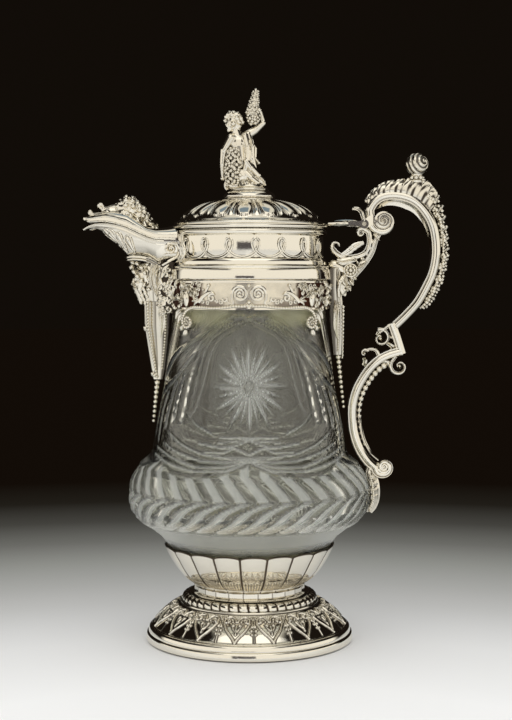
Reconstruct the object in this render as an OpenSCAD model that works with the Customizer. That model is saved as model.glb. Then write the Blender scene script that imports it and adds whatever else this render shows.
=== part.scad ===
// Silver-mounted claret jug: cut-glass body in a lobed cup on a domed foot,
// chased collar with a beak spout, scroll handle, and a hinged lid with a figure.
// Millimetres, +Z up. The origin is the middle of the foot on the table, the spout
// points along -X and the handle lies along +X.

/* [Foot] */
// Diameter over the foot's rim
foot_d = 120; // [106:1:130]
// Height from the table to the top of the reeded ring
foot_h = 27.5; // [24:0.5:34]
// Thickness of the foot's metal
foot_wall = 2.2; // [1.5:0.1:3]
// Height of the moulded rim
rim_h = 8.6; // [7:0.2:10]
// Diameter over the reeded ring
ring_d = 77; // [72:0.5:82]
// Height of the reeded ring
ring_h = 5; // [3.5:0.25:6.5]
// Number of reeds in the ring
reed_n = 44; // [24:1:60]
// Number of heart leaves round the dome
heart_n = 15; // [9:1:18]
// How far a heart leaf stands out from the dome
heart_relief = 0.9; // [0.5:0.1:1.6]

/* [Stem] */
// Diameter over the knop's faceted band
knop_d = 63; // [58:0.5:68]
// Height of the knop's band
knop_h = 5.6; // [4:0.2:8]
// Number of flat facets round the knop
knop_facets = 24; // [14:1:36]

/* [Cup] */
// Diameter over the cup's rim
cup_d = 99; // [92:0.5:104]
// Height of the cup
cup_h = 22.4; // [19:0.2:26]
// Thickness of the cup's metal
cup_wall = 1.6; // [1.2:0.1:2.4]
// Number of lobes round the cup
lobe_n = 20; // [12:1:28]
// Depth of the grooves between the lobes
lobe_groove = 0.8; // [0.4:0.1:1]
// Thickness of the plaster that beds the glass
bed = 1; // [0.6:0.1:1.6]

/* [Glass] */
// Height from the glass's underside to its lip
glass_h = 174; // [164:1:186]
// Diameter over the belly
belly_d = 141; // [134:1:148]
// Diameter over the ledge above the belly
ledge_d = 130; // [124:1:134]
// Diameter of the waist above the ledge
waist_d = 112; // [106:1:116]
// Diameter of the ground neck inside the collar
neck_d = 88.4; // [84:0.2:92]
// Thickness of the glass wall
glass_wall = 3.4; // [2.6:0.1:4.4]
// Thickness of the glass at the bottom
glass_floor = 6; // [4:0.5:8]
// Number of slanting flutes round the belly
flute_n = 36; // [24:1:44]
// Depth of a flute
flute_deep = 1.1; // [0.5:0.1:1.6]
// Depth of the mitre cuts on the glass's side
mitre_deep = 1.1; // [0.6:0.1:1.4]

/* [Collar] */
// Height of the collar from the skirt's edge to the lid's seat
collar_h = 45; // [40:1:52]
// Thickness of the collar's metal
collar_wall = 1.5; // [1:0.1:2.2]
// Height of the skirt below the fascia
skirt_h = 16; // [13:0.5:19]
// Height of the plain fascia
fascia_h = 6.5; // [5:0.25:8]
// How far the fascia stands out from the skirt
fascia_out = 1.1; // [0.6:0.1:2]
// Diameter of the band with the loops
band_d = 85.2; // [82:0.2:88]
// Number of loops round the band
loop_n = 16; // [10:1:20]
// Width of one loop
loop_w = 3.9; // [3:0.1:5]
// Height of one loop
loop_h = 8.2; // [6:0.2:10]
// Thickness of the wire in the loops and scrolls
wire = 1.5; // [1:0.1:2]
// Clearance between the collar and the pieces soldered to it
solder_gap = 0.05; // [0.03:0.01:0.1]

/* [Spout] */
// Distance from the jug's axis to the tip of the lip
spout_reach = 96.5; // [88:0.5:104]
// Width of the spout at its root
spout_w = 44; // [38:1:50]
// Thickness of the spout's metal
spout_wall = 1.4; // [1:0.1:2]
// Width of the channel through the collar's wall
channel_w = 22; // [16:1:26]

/* [Lid] */
// Diameter over the lid's rim
lid_d = 91; // [88:0.5:94]
// Height of the lid's rim moulding
lid_rim_h = 4.5; // [3.5:0.25:6]
// Height of the dome above its rim
dome_h = 12.5; // [10:0.5:15]
// Thickness of the lid's metal
lid_wall = 1.5; // [1:0.1:2]
// Number of flutes in the dome
dome_flutes = 16; // [10:1:22]
// Depth of the sleeve that hangs inside the collar
bezel_h = 4; // [3:0.25:5]
// Gap between the lid and its seat
seat_gap = 0.2; // [0.1:0.05:0.3]
// Gap between the sleeve and the collar
bezel_gap = 0.6; // [0.5:0.05:1]
// Diameter of the plinth under the figure
plinth_d = 30; // [26:0.5:36]
// Height of the plinth
plinth_h = 5.6; // [4:0.2:8]

/* [Figure] */
// Height of the figure with its raised horn, above the plinth
figure_h = 59.6; // [52:0.4:66]
// Diameter of the threaded stud under the figure
stud_d = 5; // [4:0.5:6]
// Thickness of the nut inside the lid
nut_t = 3; // [2:0.25:4]
// Width of the nut across its flats
nut_w = 9; // [8:0.5:11]

/* [Hinge] */
// Distance from the jug's axis to the hinge pin
hinge_x = 65.8; // [64.6:0.2:66.4]
// Height of the hinge pin above the lid's seat
hinge_up = 3.7; // [3:0.1:5]
// Diameter of the hinge pin
pin_d = 2.5; // [2:0.1:3]
// Clearance round the pin in the lid's knuckles, on the radius
pin_play = 0.06; // [0.03:0.01:0.1]
// Wall of a knuckle round the pin
knuckle_wall = 1.4; // [1:0.1:2]
// Width of the handle's knuckle
knuckle_w = 9.4; // [8:0.2:11]
// Width of each of the lid's two knuckles
ear_w = 2.2; // [1.6:0.1:3]
// Gap between the lid's knuckles and the handle
side_gap = 0.4; // [0.3:0.05:0.8]

/* [Handle] */
// Distance from the jug's axis to the outside of the handle
handle_reach = 110.5; // [104:0.5:118]
// Width of the handle's band
handle_w = 9; // [7:0.5:9]
// Thickness of the handle's band
handle_t = 4.3; // [3.4:0.1:5.4]
// Depth of the keel inside the upper scroll
keel = 4.6; // [0:0.2:5.4]
// Diameter of the ball on the crest
ball_d = 13.4; // [10:0.2:16]
// Diameter of the largest bead in the string
bead_d = 3.8; // [3:0.1:4.6]
// Number of beads in the string
bead_n = 16; // [10:1:24]
// Clearance between the beads and the scroll they sit in
bead_seat = 0.3; // [0.2:0.1:0.6]
// Thickness of the leaf pad on the glass
pad_t = 4.6; // [3:0.2:6]

/* [Hidden] */

silver = [0.80, 0.78, 0.72];
gilt_shadow = [0.62, 0.58, 0.50];
clear = [0.80, 0.84, 0.80, 0.5];
plaster = [0.88, 0.86, 0.80];
fine = 96;

// Heights of the seats, from the table up
z_knop = foot_h;
z_cup = z_knop + knop_h;
z_glass = z_cup + cup_wall + bed;
z_lip = z_glass + glass_h;
z_seat = z_lip + 0.6 * bed + collar_h - skirt_h - 2;
z_skirt = z_seat - collar_h;
z_fascia = z_skirt + skirt_h;
z_band = z_seat - loop_h - 7.8;
z_lid = z_seat + seat_gap;
z_dome = z_lid + lid_rim_h;
z_plinth = z_dome + dome_h;
z_figure = z_plinth + plinth_h;

neck_r = neck_d / 2;
skirt_r = neck_r + 0.8 * bed + collar_wall;
fascia_r = skirt_r + fascia_out;
band_r = band_d / 2;

// ---------------------------------------------------------------- helpers
function flat(l) = [for (a = l) for (b = a) b];
function unit(v) = v / norm(v);
function mix(a, b, t) = a + (b - a) * t;
function rev(l) = [for (i = [len(l) - 1:-1:0]) l[i]];
function sub(l, a, b) = [for (i = [a:b]) l[i]];

// Polyline moved sideways by d, to its left
function off(p, d) = [for (i = [0:len(p) - 1]) let (
    a = unit(p[i] - p[max(i - 1, 0)] + (i == 0 ? p[1] - p[0] : [0, 0])),
    b = unit(p[min(i + 1, len(p) - 1)] - p[i] + (i == len(p) - 1 ? p[i] - p[i - 1] : [0, 0])),
    n = unit([-a[1] - b[1], a[0] + b[0]]),
    k = max(0.5, n * [-a[1], a[0]])) p[i] + n * d / k];

// Smooth curve through points, k steps to each span
function curve(p, k) = concat(
    flat([for (i = [0:len(p) - 2]) [for (j = [0:k - 1]) let (
        t = j / k, a = p[max(i - 1, 0)], b = p[i], c = p[i + 1], d = p[min(i + 2, len(p) - 1)])
        0.5 * (2 * b + (c - a) * t + (2 * a - 5 * b + 4 * c - d) * t * t + (3 * b - a - 3 * c + d) * t * t * t)]]),
    [p[len(p) - 1]]);

// Spiral about c, from radius r0 at angle a0 to r1 at angle a1, in n steps
function spiral(c, r0, a0, r1, a1, n) = [for (i = [0:n]) let (t = i / n, r = mix(r0, r1, t), a = mix(a0, a1, t))
    c + [r * cos(a), r * sin(a)]];

function ell(a, b, n) = [for (i = [0:n - 1]) [a * cos(360 * i / n + 180 / n), b * sin(360 * i / n + 180 / n)]];

function along(p, i) = unit(p[min(i + 1, len(p) - 1)] - p[max(i - 1, 0)]);

// Closed solid through a list of rings with equal counts
module skin(r) {
    m = len(r); n = len(r[0]);
    polyhedron(points = flat(r), convexity = 6, faces = concat(
        [[for (j = [0:n - 1]) j]], [[for (j = [n - 1:-1:0]) (m - 1) * n + j]],
        flat([for (i = [0:m - 2]) flat([for (j = [0:n - 1]) let (k = (j + 1) % n)
            [[i * n + j, (i + 1) * n + j, i * n + k], [i * n + k, (i + 1) * n + j, (i + 1) * n + k]]])])));
}

// Sweep along 3-D points: nv gives each point's upward direction, sec its section
module sweep(p, nv, sec) skin([for (i = [0:len(p) - 1]) let (
    t = along(p, i), n = unit(nv[i] - t * (nv[i] * t)), b = cross(n, t)) [for (s = sec[i]) p[i] + s[0] * b + s[1] * n]]);

// Sweep in the middle plane: points are [x, z]
module flatsweep(p, sec) {
    q = [for (a = p) [a[0], 0, a[1]]];
    sweep(q, [for (i = [0:len(q) - 1]) cross(along(q, i), [0, 1, 0])], sec);
}

// Sweep round the jug: points are [angle from the front, height] at radius r, front is -Y
function round_at(a, z, r) = [r * sin(a), -r * cos(a), z];
module wrapsweep(p, r, sec) sweep([for (a = p) round_at(a[0], a[1], r)], [for (a = p) round_at(a[0], 0, 1)], sec);

// Rod with round ends between two points
module limb(a, b, ra, rb) hull() {
    translate(a) sphere(r = ra, $fn = 9);
    translate(b) sphere(r = rb, $fn = 9);
}
module blob(p, r) hull() translate(p) scale(r) sphere(r = 1, $fn = 12);

// ------------------------------------------------ how drawn points follow the sizes
// The handle and the mounts were drawn on a jug with these sizes
drawn_fascia_r = 47.7;
drawn_seat = 236.8;
drawn_belly_r = 70.5;
drawn_belly_z = 87;
drawn_reach = 110.5;
z_belly = z_glass + (drawn_belly_z - 35.7) * glass_h / 174;
seat_up = z_seat - drawn_seat;
belly_up = z_belly - drawn_belly_z;
function low(z) = min(1, max(0, (190 - z) / 90));
// The lower scroll stands off the waist, and its end off the belly or the ledge, whichever is wider
drawn_waist_r = 56;
drawn_ledge_r = 65;
low_out = max(belly_d / 2 - drawn_belly_r, ledge_d / 2 - drawn_ledge_r);
function glass_out(z) = mix(waist_d / 2 - drawn_waist_r, low_out, min(1, max(0, (118 - z) / 12)));
function hp(p) = [
    p[0] + mix(fascia_r - drawn_fascia_r, glass_out(p[1]), low(p[1]))
        + (handle_reach - drawn_reach - fascia_r + drawn_fascia_r) * min(1, max(0, (p[0] - 80) / 28)) * (1 - low(p[1])),
    p[1] + mix(seat_up, belly_up, low(p[1]))];
function hps(l) = [for (p = l) hp(p)];
// Points of the hinge side of the collar, which follow the collar alone
function cp(p) = [p[0] + fascia_r - drawn_fascia_r, p[1] + seat_up];
function cps(l) = [for (p = l) cp(p)];
spout_k = (spout_reach - fascia_r) / (96.5 - drawn_fascia_r);
function sp(p) = [-(fascia_r + (-p[0] - drawn_fascia_r) * spout_k), p[1] + seat_up];

// ---------------------------------------------------------------- foot
foot_r = foot_d / 2;
ring_r = ring_d / 2;
dome_top = [ring_r - 0.4, foot_h - ring_h];
dome_low = [foot_r - 4.4, rim_h + 0.8];
function dome_at(t) = [mix(dome_low[0], dome_top[0], t), mix(dome_low[1], dome_top[1], t) + 1.0 * sin(180 * t)];
foot_line = concat(
    [[foot_r - 1, 0], [foot_r, 1], [foot_r, 0.36 * rim_h], [foot_r - 1.2, 0.5 * rim_h], [foot_r - 3.4, 0.56 * rim_h],
     [foot_r - 3.8, 0.68 * rim_h], [foot_r - 2.8, 0.86 * rim_h], [foot_r - 3.6, rim_h]],
    [for (i = [0:6]) dome_at(i / 6)],
    [[knop_d / 2 + 1.5, foot_h - ring_h], [knop_d / 2 + 1.5, foot_h - 0.6], [knop_d / 2 + 0.6, foot_h]]);
module foot() color(silver) rotate_extrude($fn = fine) polygon(concat(
    foot_line, [[knop_d / 2 - 3, foot_h], [knop_d / 2 - 3, foot_h - foot_wall], [ring_r - foot_wall - 2, foot_h - ring_h - foot_wall],
    [dome_low[0] - foot_wall, dome_low[1] - foot_wall], [foot_r - 5, 0]]));

// One heart leaf: two round lobes and a point, drawn flat, x across and y up the dome
heart_w = 0.42 * 360 / heart_n;
module heart2d(w) {
    for (s = [-1, 1]) translate([s * 0.27 * w, 0.3 * w]) circle(r = 0.27 * w, $fn = 24);
    polygon([[-0.53 * w, 0.24 * w], [-0.27 * w, 0], [0, -0.62 * w], [0.27 * w, 0], [0.53 * w, 0.24 * w], [0.2 * w, 0.45 * w], [-0.2 * w, 0.45 * w]]);
}
slope = atan2(dome_top[1] - dome_low[1], dome_low[0] - dome_top[0]);
module foot_hearts() color(silver) difference() {
    m = dome_at(0.52);
    w = 2 * 3.14 * m[0] / heart_n * 0.62;
    union() {
        for (i = [0:heart_n - 1]) rotate(360 * (i + 0.62) / heart_n - 90) translate([m[0], 0, m[1]]) rotate([0, 90 - slope, 0]) rotate([0, 0, 90])
            translate([0, 0, -1.4]) linear_extrude(1.4 + heart_relief) {
                difference() { heart2d(w); translate([0, 0.03 * w]) scale(0.74) heart2d(w); }
                translate([0, -0.04 * w]) scale([0.42, 1]) circle(r = 0.3 * w, $fn = 18);
                translate([-0.07 * w, 0.1 * w]) square([0.14 * w, 0.3 * w]);
            }
        // berry stem between two hearts
        for (i = [0:heart_n - 1]) rotate(360 * (i + 1.12) / heart_n - 90) translate([m[0], 0, m[1]]) rotate([0, 90 - slope, 0]) rotate([0, 0, 90])
            translate([0, 0, -1.4]) linear_extrude(1.4 + heart_relief) {
                translate([-0.07 * w, -0.6 * w]) square([0.14 * w, 1.1 * w]);
                for (y = [-0.05, 0.2, 0.45]) translate([0, y * w]) circle(r = 0.1 * w, $fn = 12);
                for (s = [-1, 1]) translate([s * 0.12 * w, -0.36 * w]) rotate(s * -40) scale([0.5, 1]) circle(r = 0.19 * w, $fn = 12);
            }
    }
    rotate_extrude($fn = fine) polygon(concat([[0, 0]], foot_line, [[0, foot_h]]));
}
module foot_ring() color(silver) difference() {
    rotate_extrude($fn = fine) polygon([[knop_d / 2 + 1.5, foot_h - ring_h], [ring_r - 0.8, foot_h - ring_h], [ring_r, foot_h - 0.75 * ring_h],
        [ring_r, foot_h - 0.45 * ring_h], [ring_r - 1, foot_h - 0.2 * ring_h], [ring_r - 2.6, foot_h - 0.6], [knop_d / 2 + 1.5, foot_h - 0.6]]);
    for (i = [0:reed_n - 1]) rotate(360 * i / reed_n) translate([ring_r - 0.9, -0.45, foot_h - ring_h - 1]) cube([3, 0.9, ring_h - 0.2]);
}

// ---------------------------------------------------------------- stem and cup
module knop() color(silver) difference() {
    translate([0, 0, z_knop]) cylinder(d = knop_d, h = knop_h, $fn = fine);
    translate([0, 0, z_knop - 1]) cylinder(d = knop_d - 8, h = knop_h + 2, $fn = fine);
    for (i = [0:knop_facets - 1]) rotate(360 * i / knop_facets)
        translate([knop_d / 2 * cos(180 / knop_facets), -6, z_knop + 1]) cube([4, 12, knop_h - 2]);
}
cup_r0 = knop_d / 2 - 1;
cup_line = [for (p = [[0, 0], [0.12, 0.03], [0.33, 0.15], [0.585, 0.37], [0.77, 0.61], [0.9, 0.83], [1, 1]])
    [mix(cup_r0, cup_d / 2, p[0]), z_cup + cup_h * p[1]]];
cup_in = off(concat([[0, z_cup]], cup_line), cup_wall);
bed_in = off(concat([[0, z_cup]], cup_line), cup_wall + bed);
module cup() color(silver) difference() {
    rotate_extrude($fn = fine) polygon(concat([[0, z_cup]], cup_line, rev(cup_in)));
    for (i = [0:lobe_n - 1]) rotate(360 * (i + 0.5) / lobe_n - 87) rotate([90, 0, 0]) {
        // groove along the cup's side, and the notch where two lobes meet at the rim
        translate([0, 0, -0.5]) linear_extrude(1) polygon(concat(
            [[cup_line[1][0] + 20, z_cup - 1]], [[cup_line[1][0] + 1, z_cup - 1]], off(sub(cup_line, 1, 6), lobe_groove), [[cup_d / 2 + 10, z_cup + cup_h + 1]]));
        rotate([0, 90, 0]) translate([0, 0, cup_d / 2 - 6]) rotate(90) linear_extrude(12)
            polygon([[-4.6, z_cup + cup_h + 0.1], [0, z_cup + cup_h - 2], [4.6, z_cup + cup_h + 0.1], [0, z_cup + cup_h + 3]]);
    }
}
module cup_bed() color(plaster) rotate_extrude($fn = fine) polygon(concat(sub(cup_in, 0, 6), rev(sub(bed_in, 0, 6))));

// ---------------------------------------------------------------- glass
function gz(z) = z_glass + (z - 35.7) * glass_h / 174;
belly_r = belly_d / 2;
ledge_r = ledge_d / 2;
waist_r = waist_d / 2;
glass_up = concat(
    [[mix(bed_in[7][0], belly_r, 0.18), gz(59.5)], [mix(bed_in[7][0], belly_r, 0.5), gz(65.5)], [belly_r - 5, gz(71.2)], [belly_r - 1.6, gz(77)],
     [belly_r, gz(82)], [belly_r, gz(87.2)], [belly_r - 1, gz(93)], [belly_r - 2.6, gz(97)]],
    [[ledge_r - 1.6, gz(99.4)], [ledge_r, gz(101.2)], [ledge_r - 1.4, gz(103.2)], [mix(ledge_r, waist_r, 0.62), gz(106.6)]],
    [[waist_r + 0.4, gz(110)], [waist_r - 0.4, gz(116)], [waist_r - 2.4, gz(128)]],
    [[mix(waist_r, neck_r, 0.52), gz(148)], [mix(waist_r, neck_r, 0.74), gz(168)], [neck_r + 1.2, gz(182)], [neck_r, gz(192)], [neck_r, z_lip]]);
glass_in = [[0, z_glass + glass_floor], [cup_r0 - 2, z_glass + glass_floor], [mix(cup_r0, bed_in[7][0], 0.7), gz(51)],
    [mix(bed_in[7][0], belly_r, 0.3) - glass_wall, gz(64)], [belly_r - 5 - glass_wall, gz(74.5)], [belly_r - glass_wall, gz(84)],
    [belly_r - 2 - glass_wall, gz(92)], [ledge_r - 2.5 - glass_wall, gz(99)], [waist_r - glass_wall, gz(111)],
    [waist_r - 2.4 - glass_wall, gz(128)], [mix(waist_r, neck_r, 0.52) - glass_wall, gz(148)],
    [mix(waist_r, neck_r, 0.74) - glass_wall, gz(168)], [neck_r - glass_wall, gz(190)], [neck_r - glass_wall, z_lip]];
// Radius of the glass's side at height z, from the ledge to the neck
function side_r(z) = lookup(z, [[gz(110), waist_r + 0.4], [gz(116), waist_r - 0.4], [gz(128), waist_r - 2.4],
    [gz(148), mix(waist_r, neck_r, 0.52)], [gz(168), mix(waist_r, neck_r, 0.74)], [gz(182), neck_r + 1.2], [gz(192), neck_r]]);
// One straight run of the mitre wheel, from angle a at height y to angle b at height z
module mitre(a, y, b, z) {
    p = round_at(a, gz(y), side_r(gz(y)));
    q = round_at(b, gz(z), side_r(gz(z)));
    d = q - p;
    translate(p) rotate([0, acos(d[2] / norm(d)), atan2(d[1], d[0])]) cylinder(r = mitre_deep, h = norm(d), $fn = 4);
}
function arch_z(a) = 189 - 0.0057 * a * a;
function star_r(a) = 1 / norm([cos(a) / 28, sin(a) / 32]);
module glass() color(clear) difference() {
    rotate_extrude($fn = fine) polygon(concat(sub(bed_in, 0, 7), glass_up, rev(glass_in)));
    // slanting flutes, each the edge of a round cutting wheel run up the belly
    for (i = [0:flute_n - 1]) rotate(360 * i / flute_n)
        translate([belly_r - flute_deep + 2.4, 0, gz(82)]) rotate([44, 0, 0]) cylinder(r = 2.4, h = 15, center = true, $fn = 24);
    // the same front and back: the arch from the collar, the uprights beside the star, and the star
    for (f = [0, 180]) rotate(f) {
        for (s = [-1, 1]) {
            for (k = [0:2]) for (i = [0:2]) mitre(s * (24 * i + 3), arch_z(24 * i + 3) - 5.4 * k, s * (24 * i + 25), arch_z(24 * i + 25) - 5.4 * k);
            for (u = [[35, 124, 40, 160], [48, 118, 50, 154], [63, 114, 62, 148]]) mitre(s * u[0], u[1], s * u[2], u[3]);
        }
        for (i = [0:7]) let (a = 45 * i) mitre(8 * cos(a), 149 + 9 * sin(a), star_r(a) * 0.72 * cos(a), 149 + star_r(a) * 0.72 * sin(a));
    }
}
module neck_bed() color(plaster) rotate_extrude($fn = fine) polygon([
    [neck_r, z_skirt + 4], [skirt_r - collar_wall, z_skirt + 4], [skirt_r - collar_wall, z_lip + 0.6 * bed],
    [neck_r - glass_wall, z_lip + 0.6 * bed], [neck_r - glass_wall, z_lip], [neck_r, z_lip]]);

// ---------------------------------------------------------------- collar
module channel(grow) translate([-fascia_r - 2, 0, z_seat - 7.5]) cube([24, channel_w + grow, 9], center = true);
collar_line = [
    [skirt_r, z_skirt], [skirt_r, z_fascia - 1], [skirt_r - 0.6, z_fascia], [fascia_r, z_fascia + 0.6],
    [fascia_r, z_fascia + fascia_h], [fascia_r - 1.4, z_fascia + fascia_h + 0.7], [fascia_r - 1.4, z_fascia + fascia_h + 2],
    [fascia_r - 3, z_fascia + fascia_h + 2.8], [fascia_r - 3, z_band - 1.6], [band_r + 1.2, z_band - 0.8], [band_r, z_band],
    [band_r, z_seat - 3.6], [band_r + 1.6, z_seat - 2.8], [band_r + 2.2, z_seat - 1.4], [band_r + 1.4, z_seat]];
// The room that the collar fills, which every piece soldered to it is cut back from
module collar_room() rotate_extrude($fn = fine) polygon(concat([[0, z_skirt]], off(collar_line, -solder_gap), [[0, z_seat]]));
module collar() color(silver) difference() {
    rotate_extrude($fn = fine) polygon(concat([[skirt_r - collar_wall, z_skirt]], collar_line, [
        [band_r - collar_wall, z_seat], [band_r - collar_wall, z_lip + 0.6 * bed + collar_wall],
        [neck_r - glass_wall, z_lip + 0.6 * bed + collar_wall], [neck_r - glass_wall, z_lip + 0.6 * bed], [skirt_r - collar_wall, z_lip + 0.6 * bed]]));
    channel(0);
}
module loop2d(w, h, t) difference() {
    union() { for (s = [-1, 1]) translate([0, s * (h - w) / 2]) circle(d = w, $fn = 32); square([w, h - w], center = true); }
    union() { for (s = [-1, 1]) translate([0, s * (h - w) / 2]) circle(d = w - 2 * t, $fn = 32); square([w - 2 * t, h - w], center = true); }
}
function loop_angle(i) = 360 * i / loop_n + 4.4;
// Whether angle a is clear of the hinge bracket and, by k degrees, of the spout
function clear_of_fittings(a, k) = abs((a + 360) % 360 - 90) > 29 && abs((a + 360) % 360 - 270) > k;
module collar_loops() color(silver) difference() {
    for (i = [0:loop_n - 1]) rotate(loop_angle(i)) {
        if (clear_of_fittings(loop_angle(i), 34))
        translate([0, 1 - band_r, z_seat - 3.8 - loop_h / 2]) rotate([90, 0, 0]) linear_extrude(wire + 1) loop2d(loop_w, loop_h, wire * 0.6);
        // the swag that hangs from this loop to the next
        if (clear_of_fittings(loop_angle(i + 0.5), 41))
        rotate(180 / loop_n) translate([0, 1 - band_r, z_seat - 3.6 - loop_h + 5.4]) rotate([90, 0, 0]) linear_extrude(wire + 0.6) intersection() {
            difference() { circle(r = 8.2, $fn = 64); circle(r = 8.2 - wire * 0.6, $fn = 64); }
            translate([0, -7]) square([360 / loop_n * 0.62, 8], center = true);
        }
    }
    translate([0, 0, z_band - 5]) cylinder(r = band_r, h = 30, $fn = fine);
    translate([0, 0, z_band - 5]) cylinder(r = band_r + 1.2, h = 5, $fn = fine);
}

// Scroll on the skirt: a spiral with a stem, drawn as [arc length, height] from the middle
function on_skirt(l) = [for (p = l) [p[0] * 180 / (PI * skirt_r), p[1] + z_skirt - 191.8]];
function domed(w, h) = [for (i = [0:4]) [w * cos(45 * i), h * sin(45 * i) - 0.05]];
module scroll(l, a, b) { p = on_skirt(l); n = len(p); wrapsweep(p, skirt_r, [for (i = [0:n - 1]) let (r = mix(a, b, i / (n - 1))) domed(r, wire)]); }
module skirt_scrolls() color(silver) for (f = [0, 180]) rotate(f) for (s = [-1, 1]) {
    scroll([for (p = concat(spiral([5.8, 200.6], 1, 200, 4.6, 560, 11), [[16, 203], [24, 201.5], [31, 204]])) [s * p[0], p[1]]], 0.7, 0.8);
    scroll([for (p = concat(spiral([37.6, 186.4], 0.8, 300, 3.6, 20, 9), [[38, 193], [33, 197], [27, 196], [19, 197]])) [s * p[0], p[1]]], 0.7, 0.8);
    scroll([for (p = concat(spiral([49, 203], 0.8, 90, 3.6, 330, 8), [[48, 197], [44, 193.6], [41, 193]])) [s * p[0], p[1]]], 0.7, 0.8);
    for (a = [[41.5, 198, 2.4], [22, 202, 1.2], [29, 200.5, 1.2], [13, 199.5, 1.1], [52, 196, 1.4]])
        let (p = on_skirt([[s * a[0], a[1]]])[0]) hull() {
            translate(round_at(p[0], p[1], skirt_r + 0.3 * a[2])) sphere(r = a[2] * 0.8, $fn = 8);
            translate(round_at(p[0], p[1], skirt_r + 0.5 * a[2])) sphere(r = a[2], $fn = 8);
        }
}
module skirt_border() color(silver) for (f = [0, 180]) rotate(f) for (s = [-1, 1]) {
    p = curve([for (p = [[0, 194.2], [6, 193], [16, 192], [25, 192.4], [31, 191], [36, 190.6], [44, 190.4], [56, 190.6]]) [s * p[0], p[1]]], 6);
    q = on_skirt(p);
    wrapsweep(q, skirt_r, [for (i = [0:len(q) - 1]) let (r = i % 2 == 0 ? 1 : 0.7) domed(r, r * 1.6)]);
}

// ---------------------------------------------------------------- spout
// Stations from the root to the tip: [x, half width, top, underside]
spout_st = [
    [-36, 1, 230.4, 217], [-52, 0.93, 231, 217.6], [-58, 0.82, 232.6, 221.2], [-64, 0.7, 235.3, 221.8], [-70, 0.57, 238.2, 222], [-71.6, 0.54, 238.8, 223.4],
    [-73.4, 0.5, 239.4, 227], [-77, 0.44, 240.2, 230.6], [-81, 0.37, 241, 233.8], [-85, 0.3, 241.2, 236.2], [-88.6, 0.23, 241.1, 237.8],
    [-92.6, 0.14, 239.7, 238], [-96.5, 0.04, 237.7, 237.1]];
function low_section(s, dw, dt, du) = let (p = sp([s[0], s[2]]), q = sp([s[0], s[3]]), w = s[1] * spout_w / 2 - dw, t = p[1] + dt, u = q[1] + du)
    concat([[p[0], -w, t]], [for (i = [1:7]) let (a = 180 * i / 8) [p[0], -w * pow(cos(a) * cos(a), 0.36) * sign(cos(a) + 1e-9), t - (t - u) * pow(sin(a), 0.7)]], [[p[0], w, t]]);
module spout_block(dw, dt, du, n) skin([for (i = [0:n]) rev(low_section(spout_st[i], dw, dt, du))]);
module spout() color(silver) difference() {
    union() {
        spout_block(0, 0, 0, 12);
        for (s = [-1, 1]) for (g = [[-75.4, 9.4, 236.4, -71.2, 10.8, 224.6], [-70.2, 12, 235, -67.6, 11.6, 223.8], [-79.6, 7.4, 237.6, -74.8, 8.8, 230]])
            let (a = sp([g[0], g[2]]), b = sp([g[3], g[5]])) hull() {
                translate([a[0], s * g[1] * spout_w / 44, a[1]]) sphere(r = 2, $fn = 10);
                translate([b[0], s * g[4] * spout_w / 44, b[1]]) sphere(r = 0.8, $fn = 8);
            }
    }
    // the trough inside, and the collar that it stands against
    skin([for (i = [0:11]) rev(low_section(spout_st[i], min(spout_wall, spout_st[i][1] * 0.4 * spout_w / 2), i > 10 ? 0.6 : 2, min(spout_wall, (spout_st[i][2] - spout_st[i][3]) * 0.6)))]);
    collar_room();
}
module at_spout(p) { q = sp([p[0], p[2]]); translate([q[0], p[1], q[1]]) children(); }
function at3(p) = let (q = sp([p[0], p[2]])) [q[0], p[1], q[1]];
// Calm bearded mask under the spout, backed by a pilaster on the skirt
module spout_mask() color(silver) difference() {
    union() {
        blob(at3([-61.5, 0, 209]), [6.4, 6.4, 8.4]);
        blob(at3([-66.6, 0, 208.2]), [2.2, 1.3, 2.4]);
        limb(at3([-64.8, -3.2, 213]), at3([-64.8, 3.2, 213]), 2.6, 2.6);
        for (s = [-1, 1]) {
            limb(at3([-66, s * 1.8, 219.4]), at3([-64, s * 5, 216]), 2.4, 2);
            limb(at3([-62, s * 6, 214]), at3([-60, s * 6.2, 204]), 2, 1.8);
            limb(at3([-66.4, s * 1.2, 205]), at3([-65.6, s * 4, 202.6]), 1.3, 0.9);
        }
        limb(at3([-64.6, 0, 202.6]), at3([-60.6, 0, 196.6]), 4.2, 2);
        limb(at3([-62.4, 2.6, 203]), at3([-59, 2.2, 198]), 3.2, 2.2);
        limb(at3([-62.4, -2.6, 203]), at3([-59, -2.2, 198]), 3.2, 2.2);
        // pilaster between the mask and the collar
        skin([for (s = [[-58, -47, 9, 221.6], [-59, -47.2, 9, 214], [-60, -46, 8, 205], [-59.8, -46, 7.4, 196.2]])
            let (a = sp([s[0], s[3]]), b = sp([s[1], s[3]])) [[a[0], s[2], a[1]], [b[0], s[2], a[1]], [b[0], -s[2], a[1]], [a[0], -s[2], a[1]]]]);
    }
    collar_room();
    spout_block(0, 0, 0, 12);
}
// Tapering pendant under the mask, with a drop of beads down the glass
module spout_pendant() color(silver) difference() {
  union() {
    skin([for (s = [[-59.6, -46.2, 7.2, 196], [-59.6, -46.4, 7, 182], [-57.6, -47.4, 5.4, 170], [-55.6, -49, 3.6, 158], [-54.2, -50.6, 1.6, 151]])
        let (a = sp([s[0], s[3]]), b = sp([s[1], s[3]])) [[a[0], s[2], a[1]], [b[0], s[2], a[1]], [b[0], -s[2], a[1]], [a[0], -s[2], a[1]]]]);
    for (i = [0:7]) at_spout([-mix(53.2, 55.6, i / 7), 0, 150.4 - i * 3]) sphere(r = mix(2, 1.2, i / 7), $fn = 16);
    at_spout([-58.6, 0, 180.6]) sphere(r = 2.4, $fn = 20);
    at_spout([-54.6, 0, 154]) sphere(r = 2, $fn = 20);
  }
  collar_room();
}

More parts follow.
